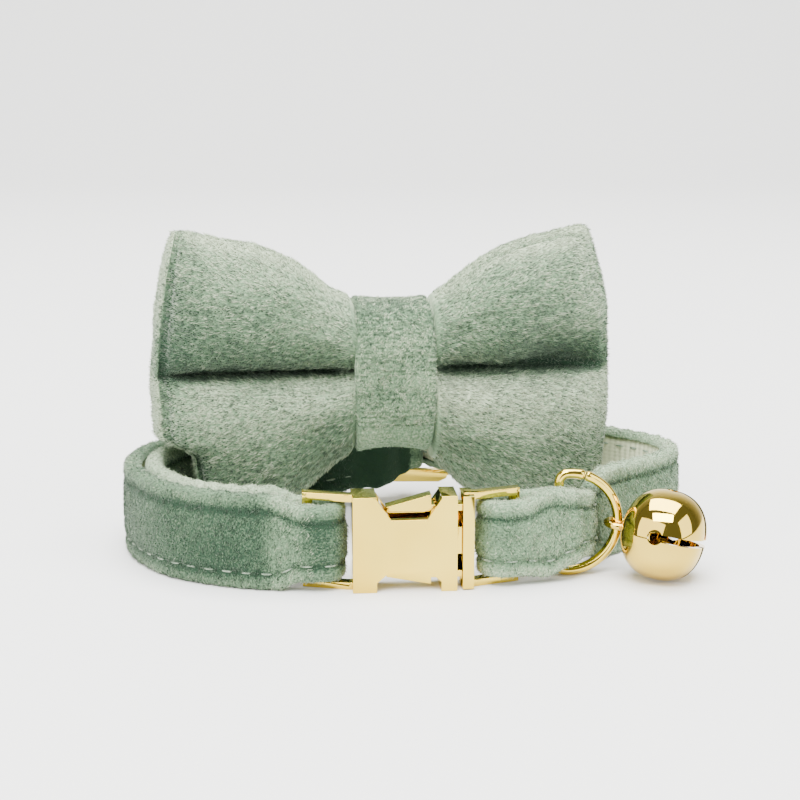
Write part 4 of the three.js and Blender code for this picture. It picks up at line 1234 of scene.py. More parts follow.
    def nap(self, way: Route, height: Array, points: Array) -> Array:
        """Painted light and shade on the pile: painted shade on the left of the front, in the left turn,
        under the bow, beside the ring and in the seam grooves, painted light on the right of the front and
        along the edges, a little paler on the inner layer, with random blotches.

        Args:
            way: the strap's way.
            height: heights above its middle, one row a station.
            points: the sleeve's points.

        Returns:
            Tones round 0.5.
        """
        p = self.plan
        outer = way.layer == Layer.OUTER.value
        left = outer * (1 - smoothstep(way.base, 60, 75)) * smoothstep(way.base, 3, 5.5)
        right = outer * smoothstep(way.base, p.slider_s + 20, p.slider_s + 45)
        half = way.width[:, None] / 2
        edge = smoothstep(np.abs(height), half - 1.9, half - 0.7)
        x, y = way.point.T
        window = (way.layer == Layer.INNER.value) * (y > 0.6 * p.loop_depth) * smoothstep(x, -19, -15)
        inner = (way.layer == Layer.INNER.value) - window
        turn = way.layer == Layer.LEFT_TURN.value
        # Painted shade on the left of the front, under the bow on the inner layer and in the left turn;
        # painted light on the right of the front; a little paler on the rest of the inner layer.
        broad = self.left_tone * left + self.right_tone * right + self.window_tone * window
        broad = broad + self.inner_tone * inner + self.turn_tone * turn
        seam = ridge(np.abs(height) - (half - self.seam_inset), 0.4)
        blotch = 0.2 * (lattice_noise(points / np.array([5.0, 5.0, 4.0]), 31) - 0.5)
        ringed = 0.45 * self.past_flap(way, height)
        # Painted sheen along the edges, painted shade in the seam grooves, deeper on the upper seam, random
        # blotches, and painted shade past the flap beside the ring.
        return 0.5 + broad[:, None] + 0.3 * edge - (0.3 + 0.2 * (height > 0)) * seam + blotch - ringed

    def band(self) -> Surface:
        """The webbing's surface: a flat section with rounded edges, ribbed across.

        Returns:
            The surface.
        """
        way = self.route(0.2)
        half = way.width[:, None] / 2 - self.margin - self.webbing_gap
        face = way.thickness[:, None] / 2
        inside = face - self.velvet * way.thickness[:, None] / self.plan.thickness - self.webbing_gap
        rib = 0.5 + 0.5 * np.cos(2 * np.pi * way.run[:, None] / self.rib_pitch)
        share = np.linspace(-1, 1, 13)
        seam = ridge(np.abs(share * half) - (half - self.webbing_seam_inset), 0.3)
        near = -face * 0.9 + self.rib_depth * (1 - rib) * (1 - share**6) + 0.14 * seam
        round_edge = 0.25 * np.abs(share) ** 12
        height = np.concatenate([half * share, half * share[::-1]], axis=1)
        depth = np.concatenate([near + round_edge, inside + 0 * share], axis=1)
        points = way.place(height, depth) + self.origin
        return Surface(points, along=way.run, around=lengths_round(height, depth))

    def stitches(self) -> bpy.types.Object:
        """The thread in the seam lines: closed spindles, one a stitch, on the velvet and on the webbing.

        A spindle's radius is the thread's times the root of 1 - t squared, and its ends dip into the cloth.

        Returns:
            The piece.
        """
        way = self.route(0.25)
        starts = np.arange(self.first_stitch, way.run[-1] - self.stitch_length, self.stitch_pitch)
        t = np.linspace(-1, 1, 7)
        sides = self.stitch_sides
        radius = self.thread * np.sqrt(np.maximum(1 - t**2, 0.02))
        turns = circle(sides)[:, None]
        run = starts[:, None] + (t + 1) / 2 * self.stitch_length
        z, width, thickness = (np.interp(run, way.run, a) for a in (way.z, way.width, way.thickness))
        xy = np.stack([np.interp(run, way.run, way.point[:, k]) for k in (0, 1)], axis=-1)
        out = unit(np.stack([np.interp(run, way.run, way.velvet[:, k]) for k in (0, 1)], axis=-1))
        normal = np.concatenate([out, np.zeros_like(out[..., :1])], axis=-1)[:, :, None, :]
        ring = radius[:, None, None] * (np.cos(turns) * normal + np.sin(turns) * np.array([0.0, 0.0, 1.0]))
        grid = np.arange(len(t) * sides).reshape(len(t), sides)
        beside = np.roll(grid, -1, 1)
        quads = np.stack([grid[:-1], grid[1:], beside[1:], beside[:-1]], axis=-1).reshape(-1, 4)
        ends = np.stack([grid[0], grid[-1][::-1]])
        points, loops, sizes = [], [], []
        for side, velvet_side in ((1, True), (-1, True), (1, False), (-1, False)):
            if velvet_side:
                sunk = self.upper_stitch_sunk if side > 0 else self.lower_stitch_sunk
                level = thickness / 2 - sunk - self.stitch_dip * t**4
            else:
                level = -thickness / 2 * 0.9 + 0.02 + self.webbing_stitch_dip * t**4
            seam = side * (width / 2 - self.seam_inset)
            centre = np.concatenate([xy + out * level[..., None], (z + seam)[..., None]], axis=-1)
            shift = (len(points) * len(starts) + np.arange(len(starts)))[:, None, None] * grid.size
            points.append((centre[:, :, None, :] + ring).reshape(-1, 3))
            for faces in (quads, ends):
                made = shift + faces
                loops.append(made.ravel())
                sizes.append(np.full(made.size // faces.shape[1], faces.shape[1]))
        whole = np.concatenate(points) + self.origin
        piece = new_mesh("strap_stitches", whole, np.concatenate(loops), np.concatenate(sizes))
        face_outwards(piece)
        return piece

    def build(self) -> None:
        """Builds and dresses every piece of the strap."""
        finish = VelvetFinish("strap_velvet_sage", streak=(1.3, 1.3, 1.0))
        surface = self.sleeve()
        sleeve = surface.piece("velvet_sleeve")
        dress(sleeve, finish.cloth())
        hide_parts("strap_velvet")
        band = self.band().piece("webbing_band")
        dress(band, WebbingFinish().material())
        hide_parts("strap_webbing")
        dress(self.stitches(), ThreadFinish("strap_thread").material())
        way = self.route(self.plan.step)
        cols = surface.points.shape[1]
        to_edge = self.face_columns + self.edge_columns + 1
        soft = (np.arange(cols) < to_edge) | (np.arange(cols) >= cols - to_edge - 1)
        free = (way.thickness > self.pile_from_thickness) & (way.layer != Layer.WRAP.value)

        def spread(_: Array, r: Array, c: Array) -> Array:
            """Thickest on the outer layer, and none where the slider presses the strap."""
            r = np.minimum(r, len(way.run) - 1)
            outer = np.where(way.layer[r] == Layer.OUTER.value, 1.0, 0.55)
            return soft[c % cols] * free[r] * outer

        def combed(p: Array) -> Array:
            """Down and to the left, in swirls."""
            swirl = lattice_noise(p / 6, 21)[:, None] - 0.5
            return np.array([-0.3, 0.0, -0.8]) + swirl * np.array([2.0, 0.0, 1.0])

        pile = Pile(0.4, 0.075, 0.55, streak=(0.34, 0.34, 0.42), scatter=0.5, contrast=0.6)
        dress(pile.grow("strap_pile", surface, 46000, combed, spread, 11), finish.tufts())


# ---------------------------------------------------------------- bow


@dataclass
class Stuffing:
    """The filling: cloth under pressure, worked out on a coarse grid of the same surface."""

    pressure: float = 4.0
    frames: int = 20
    enlarged: float = 10.0
    cap: float = 1.1
    quality: int = 6
    mass: float = 0.3
    stretch: float = 12.0
    shear: float = 4.0
    bending: float = 0.4

    def swell(self, coarse: Surface, held: Array) -> Array:
        """Lets pressure swell a surface.

        Args:
            coarse: the surface in millimetres.
            held: how firmly each point is held, from 0 to 1.

        Returns:
            How far each point moved, never more than the cap.
        """
        size = self.enlarged
        model = Surface(coarse.points * size, laced=True).piece("stuffing_model")
        group = model.vertex_groups.new(name="held")
        flat = held.ravel()
        for level in np.unique(flat[flat > 0]):
            group.add(np.flatnonzero(flat == level).tolist(), float(level), "REPLACE")
        cloth = model.modifiers.new("swelling", "CLOTH").settings
        cloth.quality = self.quality
        cloth.mass = self.mass
        cloth.tension_stiffness = cloth.compression_stiffness = self.stretch
        cloth.shear_stiffness = self.shear
        cloth.bending_stiffness = self.bending
        cloth.use_pressure = True
        cloth.uniform_pressure_force = self.pressure
        cloth.effector_weights.gravity = 0
        cloth.vertex_group_mass = "held"
        for step in range(1, self.frames + 1):
            bpy.context.scene.frame_set(step)
        mesh = model.evaluated_get(bpy.context.evaluated_depsgraph_get()).data
        moved = np.empty(len(mesh.vertices) * 3, dtype=np.float32)
        mesh.vertices.foreach_get("co", moved)
        shift = moved.reshape(coarse.points.shape) / (MM * size) - coarse.points
        bpy.context.scene.frame_set(1)
        bpy.data.objects.remove(model)
        far = np.linalg.norm(shift, axis=-1, keepdims=True)
        return shift * np.minimum(1, self.cap / np.maximum(far, 1e-6))


@dataclass
class Bow:
    """The padded velvet bow and the band that pinches it."""

    origin: Array
    height: float = 42.2
    left_wing: float = 33.0
    right_wing: float = 30.0
    lobe_depth: float = 8.4
    yaw: float = 8.0
    at: tuple[float, float] = (-0.95, 29.2)
    waist_rise: float = 0.6
    fold_rise: float = 1.15
    knot_width: float = 10.9
    knot_height: float = 21.0
    knot_depth: float = 13.6
    knot_wall: float = 1.6
    knot_flare: float = 0.9
    knot_edge: float = 0.62
    knot_aside: float = -0.45
    knot_dip: float = 0.35
    knot_arch: float = 0.75
    knot_power: float = 3.2
    waist_room: float = 0.3
    waist_inside: float = 0.9
    back_share: float = 0.82
    back_fold: float = 0.7
    peak: float = 0.42
    low_peak: float = 0.72
    dent: float = 0.175
    pile_room: float = 0.4
    fullness: float = 0.085
    root_gap: float = 0.1
    plump: float = 0.14
    top_corner: float = 0.12
    low_corner: float = 0.08
    pleat: float = 0.28
    unevenness: float = 0.5
    nap: float = 0.2
    end_seam: float = 0.55
    end_seam_inset: float = 2.0
    edge_seam: float = 0.45
    right_seam: float = 0.4
    top_seam: float = 0.4
    top_seam_depth: float = 2.5
    top_lip_depth: float = 3.9
    filling: Stuffing = field(default_factory=Stuffing)
    table: tuple[tuple[float, float, float, float], ...] = (
        (0, 0.51, 0.6, 0.84), (0.1, 0.61, 0.76, 0.93), (0.25, 0.76, 0.93, 0.96), (0.45, 0.88, 1, 0.95),
        (0.65, 0.94, 0.95, 0.9), (0.82, 0.985, 0.82, 0.72), (0.93, 1, 0.6, 0.3), (0.985, 0.985, 0.34, 0.1),
        (1, 0.96, 0.03, 0),
    )
    middle_rings: tuple[float, ...] = (-1.0, -0.6, -0.2, 0.2, 0.6, 1.0)
    lie: dict[str, float] = field(
        default_factory=lambda: {"fan": 0.033, "scatter": 0.3, "depth": 0.74, "contrast": 0.68}
    )
    loop_v: Array = field(init=False)
    loop_back: Array = field(init=False)
    row_share: Array = field(init=False)
    bare: Array = field(init=False)

    def root(self, side: Array) -> Array:
        """How far from the middle a wing begins: right beside the knot, which sits a little to the left."""
        return self.knot_width / 2 + self.root_gap + np.sign(side) * self.knot_aside

    def lobe(self, v: Array, fold: Array, slack: Array, peak: Array) -> Array:
        """How far a lobe stands out.

        From the middle fold it rises over (1 - fold) to 1 at the peak: as a quarter circle where the cloth is
        full, nearer a straight slope where it is slack. From there it falls as (1 - t to the 2.6) to the 0.62
        to 0 at the outer seam.

        Args:
            v: shares of the half height, 0 at the fold.
            fold: how deep the fold is.
            slack: how slack the cloth is beside the fold, from 0 to 1.
            peak: where it stands out most.

        Returns:
            Shares of the thickness.
        """
        inner = 1 - np.clip(v / peak, 0, 1)
        outer = np.clip((v - peak) / (1 - peak), 0, 1)
        rising = 1 - fold + fold * np.maximum(0, 1 - inner ** (2 - 0.8 * slack)) ** (0.38 + 0.5 * slack)
        return np.where(v < peak, rising, (1 - outer**2.6) ** 0.62)

    def local(self, side: Array, along: Array, v: Array, back: Array) -> Array:
        """Points of the pouch in the bow's own frame.

        Args:
            side: -1 on the left wing, 1 on the right.
            along: shares of the wing from its root to its end.
            v: signed shares of the half height.
            back: -1 on the front panel, 1 on the back one.

        Returns:
            The points.
        """
        place, height, thick, fold = np.array(self.table).T
        full = self.fullness * ridge(along - 0.14, 0.16) * (side > 0) * (v < 0)
        half = (flowing_table(along, place, height) + full) * self.height / 2
        plump = self.plump * ridge(along, 0.12)
        deep = np.clip(flowing_table(along, place, thick) + plump, 0, 1.02) * self.lobe_depth
        crease = np.clip(flowing_table(along, place, fold), 0, 0.96)
        up, high = np.sign(v), np.abs(v)
        share = high * half / (self.height / 2)
        z = v * half + self.waist_rise * (1 - high * along) + self.fold_rise * (1 - high) ** 1.5
        pressed = np.where(side < 0, self.dent * smoothstep(share, 0.36, 0.48), 0)
        corner = np.where(up > 0, self.top_corner * share**2, self.low_corner * share**2 + pressed)
        length = np.where(side < 0, self.left_wing, self.right_wing)
        root = self.root(side)
        x = side * (root + (length - root) * along * (1 - corner * along**2))
        slack = (side > 0) * (up > 0) * (back < 0) * smoothstep(along, 0.3, 0.7)
        slack = slack * (1 - smoothstep(along, 0.85, 0.97))
        peak = self.peak * np.where((up < 0) & (back < 0), self.low_peak, 1.0)
        panel = self.lobe(high, np.where(back > 0, crease * self.back_fold, crease), slack, peak)
        y = panel * deep * np.where(back > 0, self.back_share, -1.0)
        return np.stack(np.broadcast_arrays(x, y, z), axis=-1)

    def stuffed(self, across: int, round_half: int, coarse_across: int, coarse_half: int) -> Surface:
        """The pouch swollen by its filling, on a fine grid that follows a coarse one.

        Args:
            across: rows on each wing of the fine grid.
            round_half: columns over one half of a panel of the fine grid.
            coarse_across: the same for the coarse grid's rows.
            coarse_half: the same for the coarse grid's columns.

        Returns:
            The fine surface, in the bow's own frame.
        """
        coarse = self.pouch(coarse_across, coarse_half)
        share = np.abs(self.row_share)[:, None]
        crease = (np.abs(self.loop_v) < 1e-6)[None, :] & (share < 0.95)
        held = np.where(share < 0.03, 1.0, np.where(crease, 0.9, 0.0))
        shift = self.filling.swell(coarse, held)
        fine = self.pouch(across, round_half)
        cols = fine.points.shape[1]
        extra = len(self.middle_rings)
        at = np.concatenate([
            np.linspace(0, coarse_across - 1, across),
            coarse_across + np.linspace(-0.4, extra - 0.6, extra),
            np.linspace(coarse_across + extra, 2 * coarse_across + extra - 1, across),
        ])
        i = np.clip(np.floor(at).astype(int), 0, shift.shape[0] - 2)
        u = np.clip(at - i, 0, 1)[:, None, None]
        span = np.arange(cols) * shift.shape[1] / cols
        j = np.floor(span).astype(int)
        w = (span - j)[None, :, None]
        following = (j + 1) % shift.shape[1]
        low, high = (shift[k][:, j] * (1 - w) + shift[k][:, following] * w for k in (i, i + 1))
        fine.points = fine.points + low * (1 - u) + high * u
        return fine

    def pouch(self, across: int, round_half: int) -> Surface:
        """The pouch's surface, from the left wing's end through the waist to the right wing's end.

        Args:
            across: rows on each wing.
            round_half: columns over one half of a panel.

        Returns:
            The surface, in the bow's own frame.
        """
        t = np.linspace(0, 1, across)
        shares = t**0.95 * (1 - 0.25 * t**6) + 0.25 * t**6
        shares = shares / shares[-1]
        q = np.linspace(0, 1, round_half)
        v = np.sin(q * np.pi / 2) ** 1.45
        down = np.concatenate([v[::-1], -v[1:]])
        loop_v = np.concatenate([down, down[::-1][1:-1]])
        loop_back = np.concatenate([-np.ones(len(down)), np.ones(len(down) - 2)])
        left = self.local(np.array(-1.0), shares[::-1, None], loop_v, loop_back)
        right = self.local(np.array(1.0), shares[:, None], loop_v, loop_back)
        flatter = 0.93 * (self.knot_height / 2 - self.knot_wall - self.waist_room)
        flatter /= self.table[0][1] * self.height / 2
        thinner = 0.93 * (self.knot_depth / 2 - self.knot_wall - self.waist_room)
        thinner /= self.table[0][2] * self.lobe_depth
        middle = []
        for side in self.middle_rings:
            ring = self.local(np.array(math.copysign(1, side)), np.zeros((1, 1)), loop_v, loop_back)
            ring[..., 0] = side * (self.knot_width / 2 - self.waist_inside)
            ring[..., 1] *= thinner
            ring[..., 2] = self.waist_rise + (ring[..., 2] - self.waist_rise) * flatter
            middle.append(ring)
        self.loop_v, self.loop_back = loop_v, loop_back
        self.row_share = np.concatenate([-shares[::-1], np.zeros(len(middle)), shares])
        return Surface(np.concatenate([left, *middle, right]), laced=True)

    def soften(self, surface: Surface) -> None:
        """Presses seams, pleats and unevenness into the pouch, along its normals.

        The seam is a bell curve round the border, drawn on the front panel at the left end. Pleats are
        sines over the height that fade away from the knot. The rest is smooth noise.

        Args:
            surface: the pouch, changed in place.
        """
        p = surface.points
        normal = self.vertex_normals(surface)
        along = np.abs(self.row_share)[:, None]
        side = np.sign(self.row_share)[:, None]
        v, back = self.loop_v[None, :], self.loop_back[None, :]
        length = np.where(side < 0, self.left_wing, self.right_wing) - self.root(side)
        from_end = (1 - along) * length
        on_left, on_right, front = side < 0, side > 0, back < 0
        end_seam = ridge(from_end - self.end_seam_inset, 0.6) * (on_left & front) * (np.abs(v) < 0.97)
        border = smoothstep(np.abs(v), 0.8, 0.95) * smoothstep(along, 0.08, 0.3)
        edge_seam = ridge(p[..., 1] - 0.5, 0.4) * border
        crest = on_right * front * smoothstep(v, 0.7, 0.85) * smoothstep(along, 0.1, 0.3)
        crest = crest * (1 - smoothstep(along, 0.85, 0.95))
        lip = crest * ridge(p[..., 1] + self.top_lip_depth, 0.8)
        top_seam = crest * ridge(p[..., 1] + self.top_seam_depth, 0.42)
        last = smoothstep(along, 0.93, 0.985)
        right_end = ridge(p[..., 1] - 0.3, 0.45) * last * on_right
        pleats = np.sin(np.abs(v) * 17 + 1.3 * side + 2.1 * np.sign(v)) * np.exp(-along * 5.5)
        pleats = pleats * smoothstep(along, 0, 0.04)
        uneven = lattice_noise(p / 5.5, 3) - 0.5 + 0.45 * (lattice_noise(p / 2.4, 4) - 0.5)
        nap = lattice_noise(p * np.array([1 / 0.75, 1 / 0.5, 1 / 0.5]), 8) - 0.5
        move = self.pleat * pleats + self.unevenness * uneven + self.nap * nap
        move = move * smoothstep(along, 0.0, 0.12)
        move -= self.end_seam * end_seam + self.top_seam * top_seam
        move -= self.edge_seam * edge_seam + self.right_seam * right_end
        move -= self.pile_room * smoothstep(along, 0.0, 0.1)
        surface.points = p + normal * move[..., None]
        # The tone paints light and shade: painted light on upper parts facing the front, on the right wing's
        # lip, at the right end, on the right lower lobe and on the lower lobe just below the fold; painted
        # sheen on the rim and the left welt; painted shade at the left end, under the upper lobe, in the
        # right wing's hollow, in the seams and along the fold line; and random blotches.
        near_end = 1 - smoothstep(from_end, 2.0, 9.0)
        top = smoothstep(v, 0.35, 0.95) * smoothstep(-normal[..., 1], -0.4, 0.6)
        rim_sheen = smoothstep(np.abs(v), 0.86, 0.98) + (1 - smoothstep(from_end, 0.0, 1.6)) * (back > 0)
        under = smoothstep(v, 0.0, 0.02) * (1 - smoothstep(v, 0.1, 0.42)) * front
        over = smoothstep(-v, 0.0, 0.02) * (1 - smoothstep(-v, 0.2, 0.55)) * front
        shaded = on_right * smoothstep(along, 0.35, 0.75) * (1 - smoothstep(along, 0.88, 0.98))
        hollow = shaded * smoothstep(v, -0.01, 0.01) * (1 - smoothstep(v, 0.08, 0.34)) * front
        welt_sheen = (1 - smoothstep(from_end, 0.9, 1.5)) * on_left * front
        tone = 0.5 - 0.24 * near_end * on_left + 0.12 * near_end * on_right + 0.22 * top
        tone += 0.2 * lip - 0.4 * top_seam + 0.1 * on_right * (v < 0)
        tone += 0.42 * np.clip(rim_sheen, 0, 1) - 0.28 * end_seam - 0.1 * right_end - 0.25 * edge_seam
        tone += 0.36 * over - 0.26 * under - 0.42 * hollow + 0.55 * welt_sheen
        tone -= 0.5 * ridge(v, 0.03) * front * (along < 0.93)
        surface.tone = tone + 0.25 * (lattice_noise(p / 9.0, 6) - 0.5)

    @staticmethod
    def vertex_normals(surface: Surface) -> Array:
        """Normals at a grid's points, from the differences of their neighbours.

        Args:
            surface: the grid.

        Returns:
            The normals, facing out.
        """
        p = surface.points
        du = np.gradient(p, axis=0)
        dv = np.roll(p, -1, axis=1) - np.roll(p, 1, axis=1)
        n = unit(np.cross(du, dv))
        outwards = np.sum(n * (p - p.mean(axis=1, keepdims=True))) > 0
        return n if outwards else -n

    def standing(self, points: Array) -> Array:
        """Puts points of the bow's own frame in the collar."""
        return turned(points, self.yaw) + np.array([*self.at, self.height / 2]) + self.origin

    def knot(self) -> Surface:
        """The band: a rounded section carried round a squarish ring that widens at its middle height.

        Returns:
            The surface, in the bow's own frame.
        """
        angle = circle(520)
        radius, flat = self.knot_edge, 26
        half = self.knot_width / 2 - self.knot_flare / 2
        quarter = np.radians(np.linspace(0, 90, 6))
        edge_x = half - radius + radius * np.sin(quarter)
        edge_depth = radius - radius * np.cos(quarter)
        flat_x = np.linspace(-(half - radius), half - radius, flat)
        inside = np.array([half, half * 0.5, -half * 0.5, -half])
        xs = np.concatenate([flat_x, edge_x[1:], inside, -edge_x[::-1][:-1]])
        wall = np.full(len(inside), self.knot_wall)
        deep = np.concatenate([np.zeros(flat), edge_depth[1:], wall, edge_depth[::-1][:-1]])[None, :]
        ring_y, ring_z = squarish(np.cos(angle), self.knot_power), squarish(np.sin(angle), self.knot_power)
        y = (self.knot_depth / 2 - deep) * ring_y[:, None]
        z = (self.knot_height / 2 - deep) * ring_z[:, None]
        x = xs[None, :] * (1 + self.knot_flare / self.knot_width * (1 - ring_z[:, None] ** 2))
        out = unit(np.stack(np.broadcast_arrays(0 * x, ring_y[:, None], ring_z[:, None] * 0.7), axis=-1))
        above, below = np.maximum(0, ring_z) ** 3, np.maximum(0, -ring_z) ** 3
        bow = (self.knot_dip * above - self.knot_arch * below)[:, None]
        dip = (1 - (x / (self.knot_width / 2)) ** 2) * bow
        p = np.stack(np.broadcast_arrays(x, y, z - dip), axis=-1)
        arc = lengths_along(np.append(p[:, 12], p[:1, 12], axis=0))
        rows = np.cos(2 * np.pi * arc[:-1] / 0.62)[:, None]
        hollow = lattice_noise(p / 3.1, 14) - 0.5
        nap = lattice_noise(p * np.array([1 / 0.55, 1 / 0.5, 1 / 0.5]), 15) - 0.5
        move = (deep < 0.7) * (0.03 * rows + 0.28 * hollow + 0.16 * nap)
        p = p + out * move[..., None] + np.array([self.knot_aside, 0, self.waist_rise])
        front = (ring_y[:, None] < 0) * 1.0
        self.bare = front * (1 - smoothstep(z, -self.knot_height * 0.31, -self.knot_height * 0.29))
        # Tone: paler on the turned strip below, painted shade in the band's dents, darker towards the top of
        # its front, and faint pile rows.
        tone = 0.54 + 0.06 * self.bare - 0.2 * front * smoothstep(z, 5.5, 9.5) + 0.2 * hollow
        tone = tone + 0.07 * rows * (1 - self.bare)
        return Surface(p, closed_rows=True, along=arc[:-1], around=np.append(xs, xs[0]), tone=tone)

    def build(self) -> None:
        """Builds and dresses every piece of the bow."""
        finish = VelvetFinish("bow_velvet_sage", streak=(0.55, 1.1, 1.0))
        surface = self.stuffed(150, 42, 56, 22)
        self.soften(surface)
        surface.points = self.standing(surface.points)
        surface.along = lengths_along(surface.points[:, 30])
        surface.around = lengths_along(np.append(surface.points[75], surface.points[75][:1], axis=0))
        pouch = surface.piece("bow_cushion")
        dress(pouch, finish.cloth())
        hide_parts("bow_pouch")
        centre = self.standing(np.zeros(3))

        def combed(p: Array) -> Array:
            """Away from the knot, fanning out over the height, in swirls."""
            away = np.sign(p[:, :1] - centre[0]) * np.array([1.0, 0.0, 0.0])
            fan = (p[:, 2:] - centre[2]) / 21 * np.array([0.0, 0.0, 0.45])
            swirl = lattice_noise(p / 7, 22)[:, None] - 0.5
            return away + fan + swirl * np.array([0.0, 0.0, 0.6])

        pile = Pile(0.62, 0.09, 0.4, streak=(0.75, 0.5, 0.2), hub=centre, **self.lie)
        tufts = finish.tufts()
        for name, count, panel, seed in (("bow_pile_front", 49000, -1, 12), ("bow_pile_back", 30000, 1, 13)):

            def spread(_: Array, r: Array, c: Array) -> Array:
                """Even over one panel, and none at the waist."""
                on_panel = self.loop_back[c % len(self.loop_back)] == panel
                return (np.abs(self.row_share[r]) > 0.004) * on_panel

            dress(pile.grow(name, surface, count, combed, spread, seed), tufts)
        self.build_knot()

    def build_knot(self) -> None:
        """Builds and dresses the band round the waist."""
        finish = VelvetFinish("knot_velvet_sage", streak=(1.0, 1.0, 1.0))
        surface = self.knot()
        surface.points = self.standing(surface.points)
        band = surface.piece("bow_band")
        dress(band, finish.cloth())
        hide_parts("bow_knot")
        cols = surface.points.shape[1]

        def on_face(_: Array, r: Array, c: Array) -> Array:
            """Even over the outside, and thin where the band turns in below."""
            bare = self.bare[r % len(self.bare), 0]
            c = c % cols
            return ((c < 30) | (c >= cols - 5)) * (1 - 0.92 * bare)

        def combed(p: Array) -> Array:
            """Up, in small swirls."""
            swirl = lattice_noise(p / 2.5, 23)[:, None] - 0.5
            return np.array([0.25, 0.0, 0.55]) + swirl * np.array([1.6, 0.0, 1.6])

        pile = Pile(0.42, 0.07, 0.5, streak=(0.5, 0.4, 0.34), scatter=0.5, depth=1.15)
        dress(pile.grow("band_pile", surface, 16000, combed, on_face, 14), finish.tufts())


# ---------------------------------------------------------------- metal


@dataclass
class Clasp:
    """The two halves of the side-release buckle."""

    edge: float = 0.2

    def build(self) -> None:
        """Rounds and dresses both halves."""
        finish = GiltFinish("buckle_gilt").material()
        for node, name in (("buckle_socket", "clasp_socket"), ("buckle_plug", "clasp_plug")):
            dress(finished_copy(node, name, self.edge), finish)


@dataclass
class Ring:
    """The D-ring: one bent wire with its joint near the top."""

    origin: Array
    plan: StrapPlan
    wire: float = 1.25
    height: float = 13.8
    reach: float = 8.9
    heading: float = 8.0
    corner: float = 1.1
    joint: float = 72.0
    joint_gap: float = 0.16
    radius: float = field(init=False)
    arm: float = field(init=False)
    bar: Array = field(init=False)

    def __post_init__(self) -> None:
        """Works out the wire's arc and the place of its straight bar in the strap."""
        self.radius = (self.height - self.wire) / 2
        self.arm = self.reach - self.wire - self.radius
        self.bar = self.plan.on_base(np.array(self.plan.ring_s), -self.plan.beside_fold / 2)

    def build(self) -> None:
        """Builds and dresses the ring: a round section carried along a D, a little swollen at its joint."""
        radius, corner = self.radius, self.corner

        def arc(cx: float, cz: float, r: float, start: float, end: float, count: int) -> Array:
            """Part of a circle in the ring's plane, from one angle in degrees to another."""
            a = np.radians(np.linspace(start, end, count))
            return np.stack([cx + r * np.cos(a), 0 * a, cz + r * np.sin(a)], axis=1)

        start = self.joint + math.degrees(self.joint_gap / radius)
        line = np.concatenate([
            arc(self.arm, 0, radius, start, 90, 24),
            arc(corner, radius - corner, corner, 90, 180, 12),
            arc(corner, corner - radius, corner, 180, 270, 12),
            arc(self.arm, 0, radius, -90, self.joint, 110),
        ])
        line = line[np.append(True, np.linalg.norm(np.diff(line, axis=0), axis=1) > 1e-6)]
        along = unit(np.gradient(line, axis=0))
        across = np.stack([along[:, 2], 0 * along[:, 0], -along[:, 0]], axis=1)
        a = circle(20)[:, None]
        far = lengths_along(line)
        near_end = np.minimum(far, far[-1] - far)
        swell = 1 + 0.07 * ridge(near_end - 0.5, 0.4) - 0.16 * ridge(near_end, 0.14)
        round_wire = np.cos(a) * across[:, None] + np.sin(a) * np.array([0, 1, 0])
        rings = (self.wire / 2 * swell)[:, None, None] * round_wire
        points = turned(line[:, None] + rings, self.heading)
        points = points + np.array([*self.bar, self.height / 2]) + self.origin
        piece = Surface(points).piece("ring_wire")
        dress(piece, GiltFinish("ring_gilt").material())
        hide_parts("d_ring")


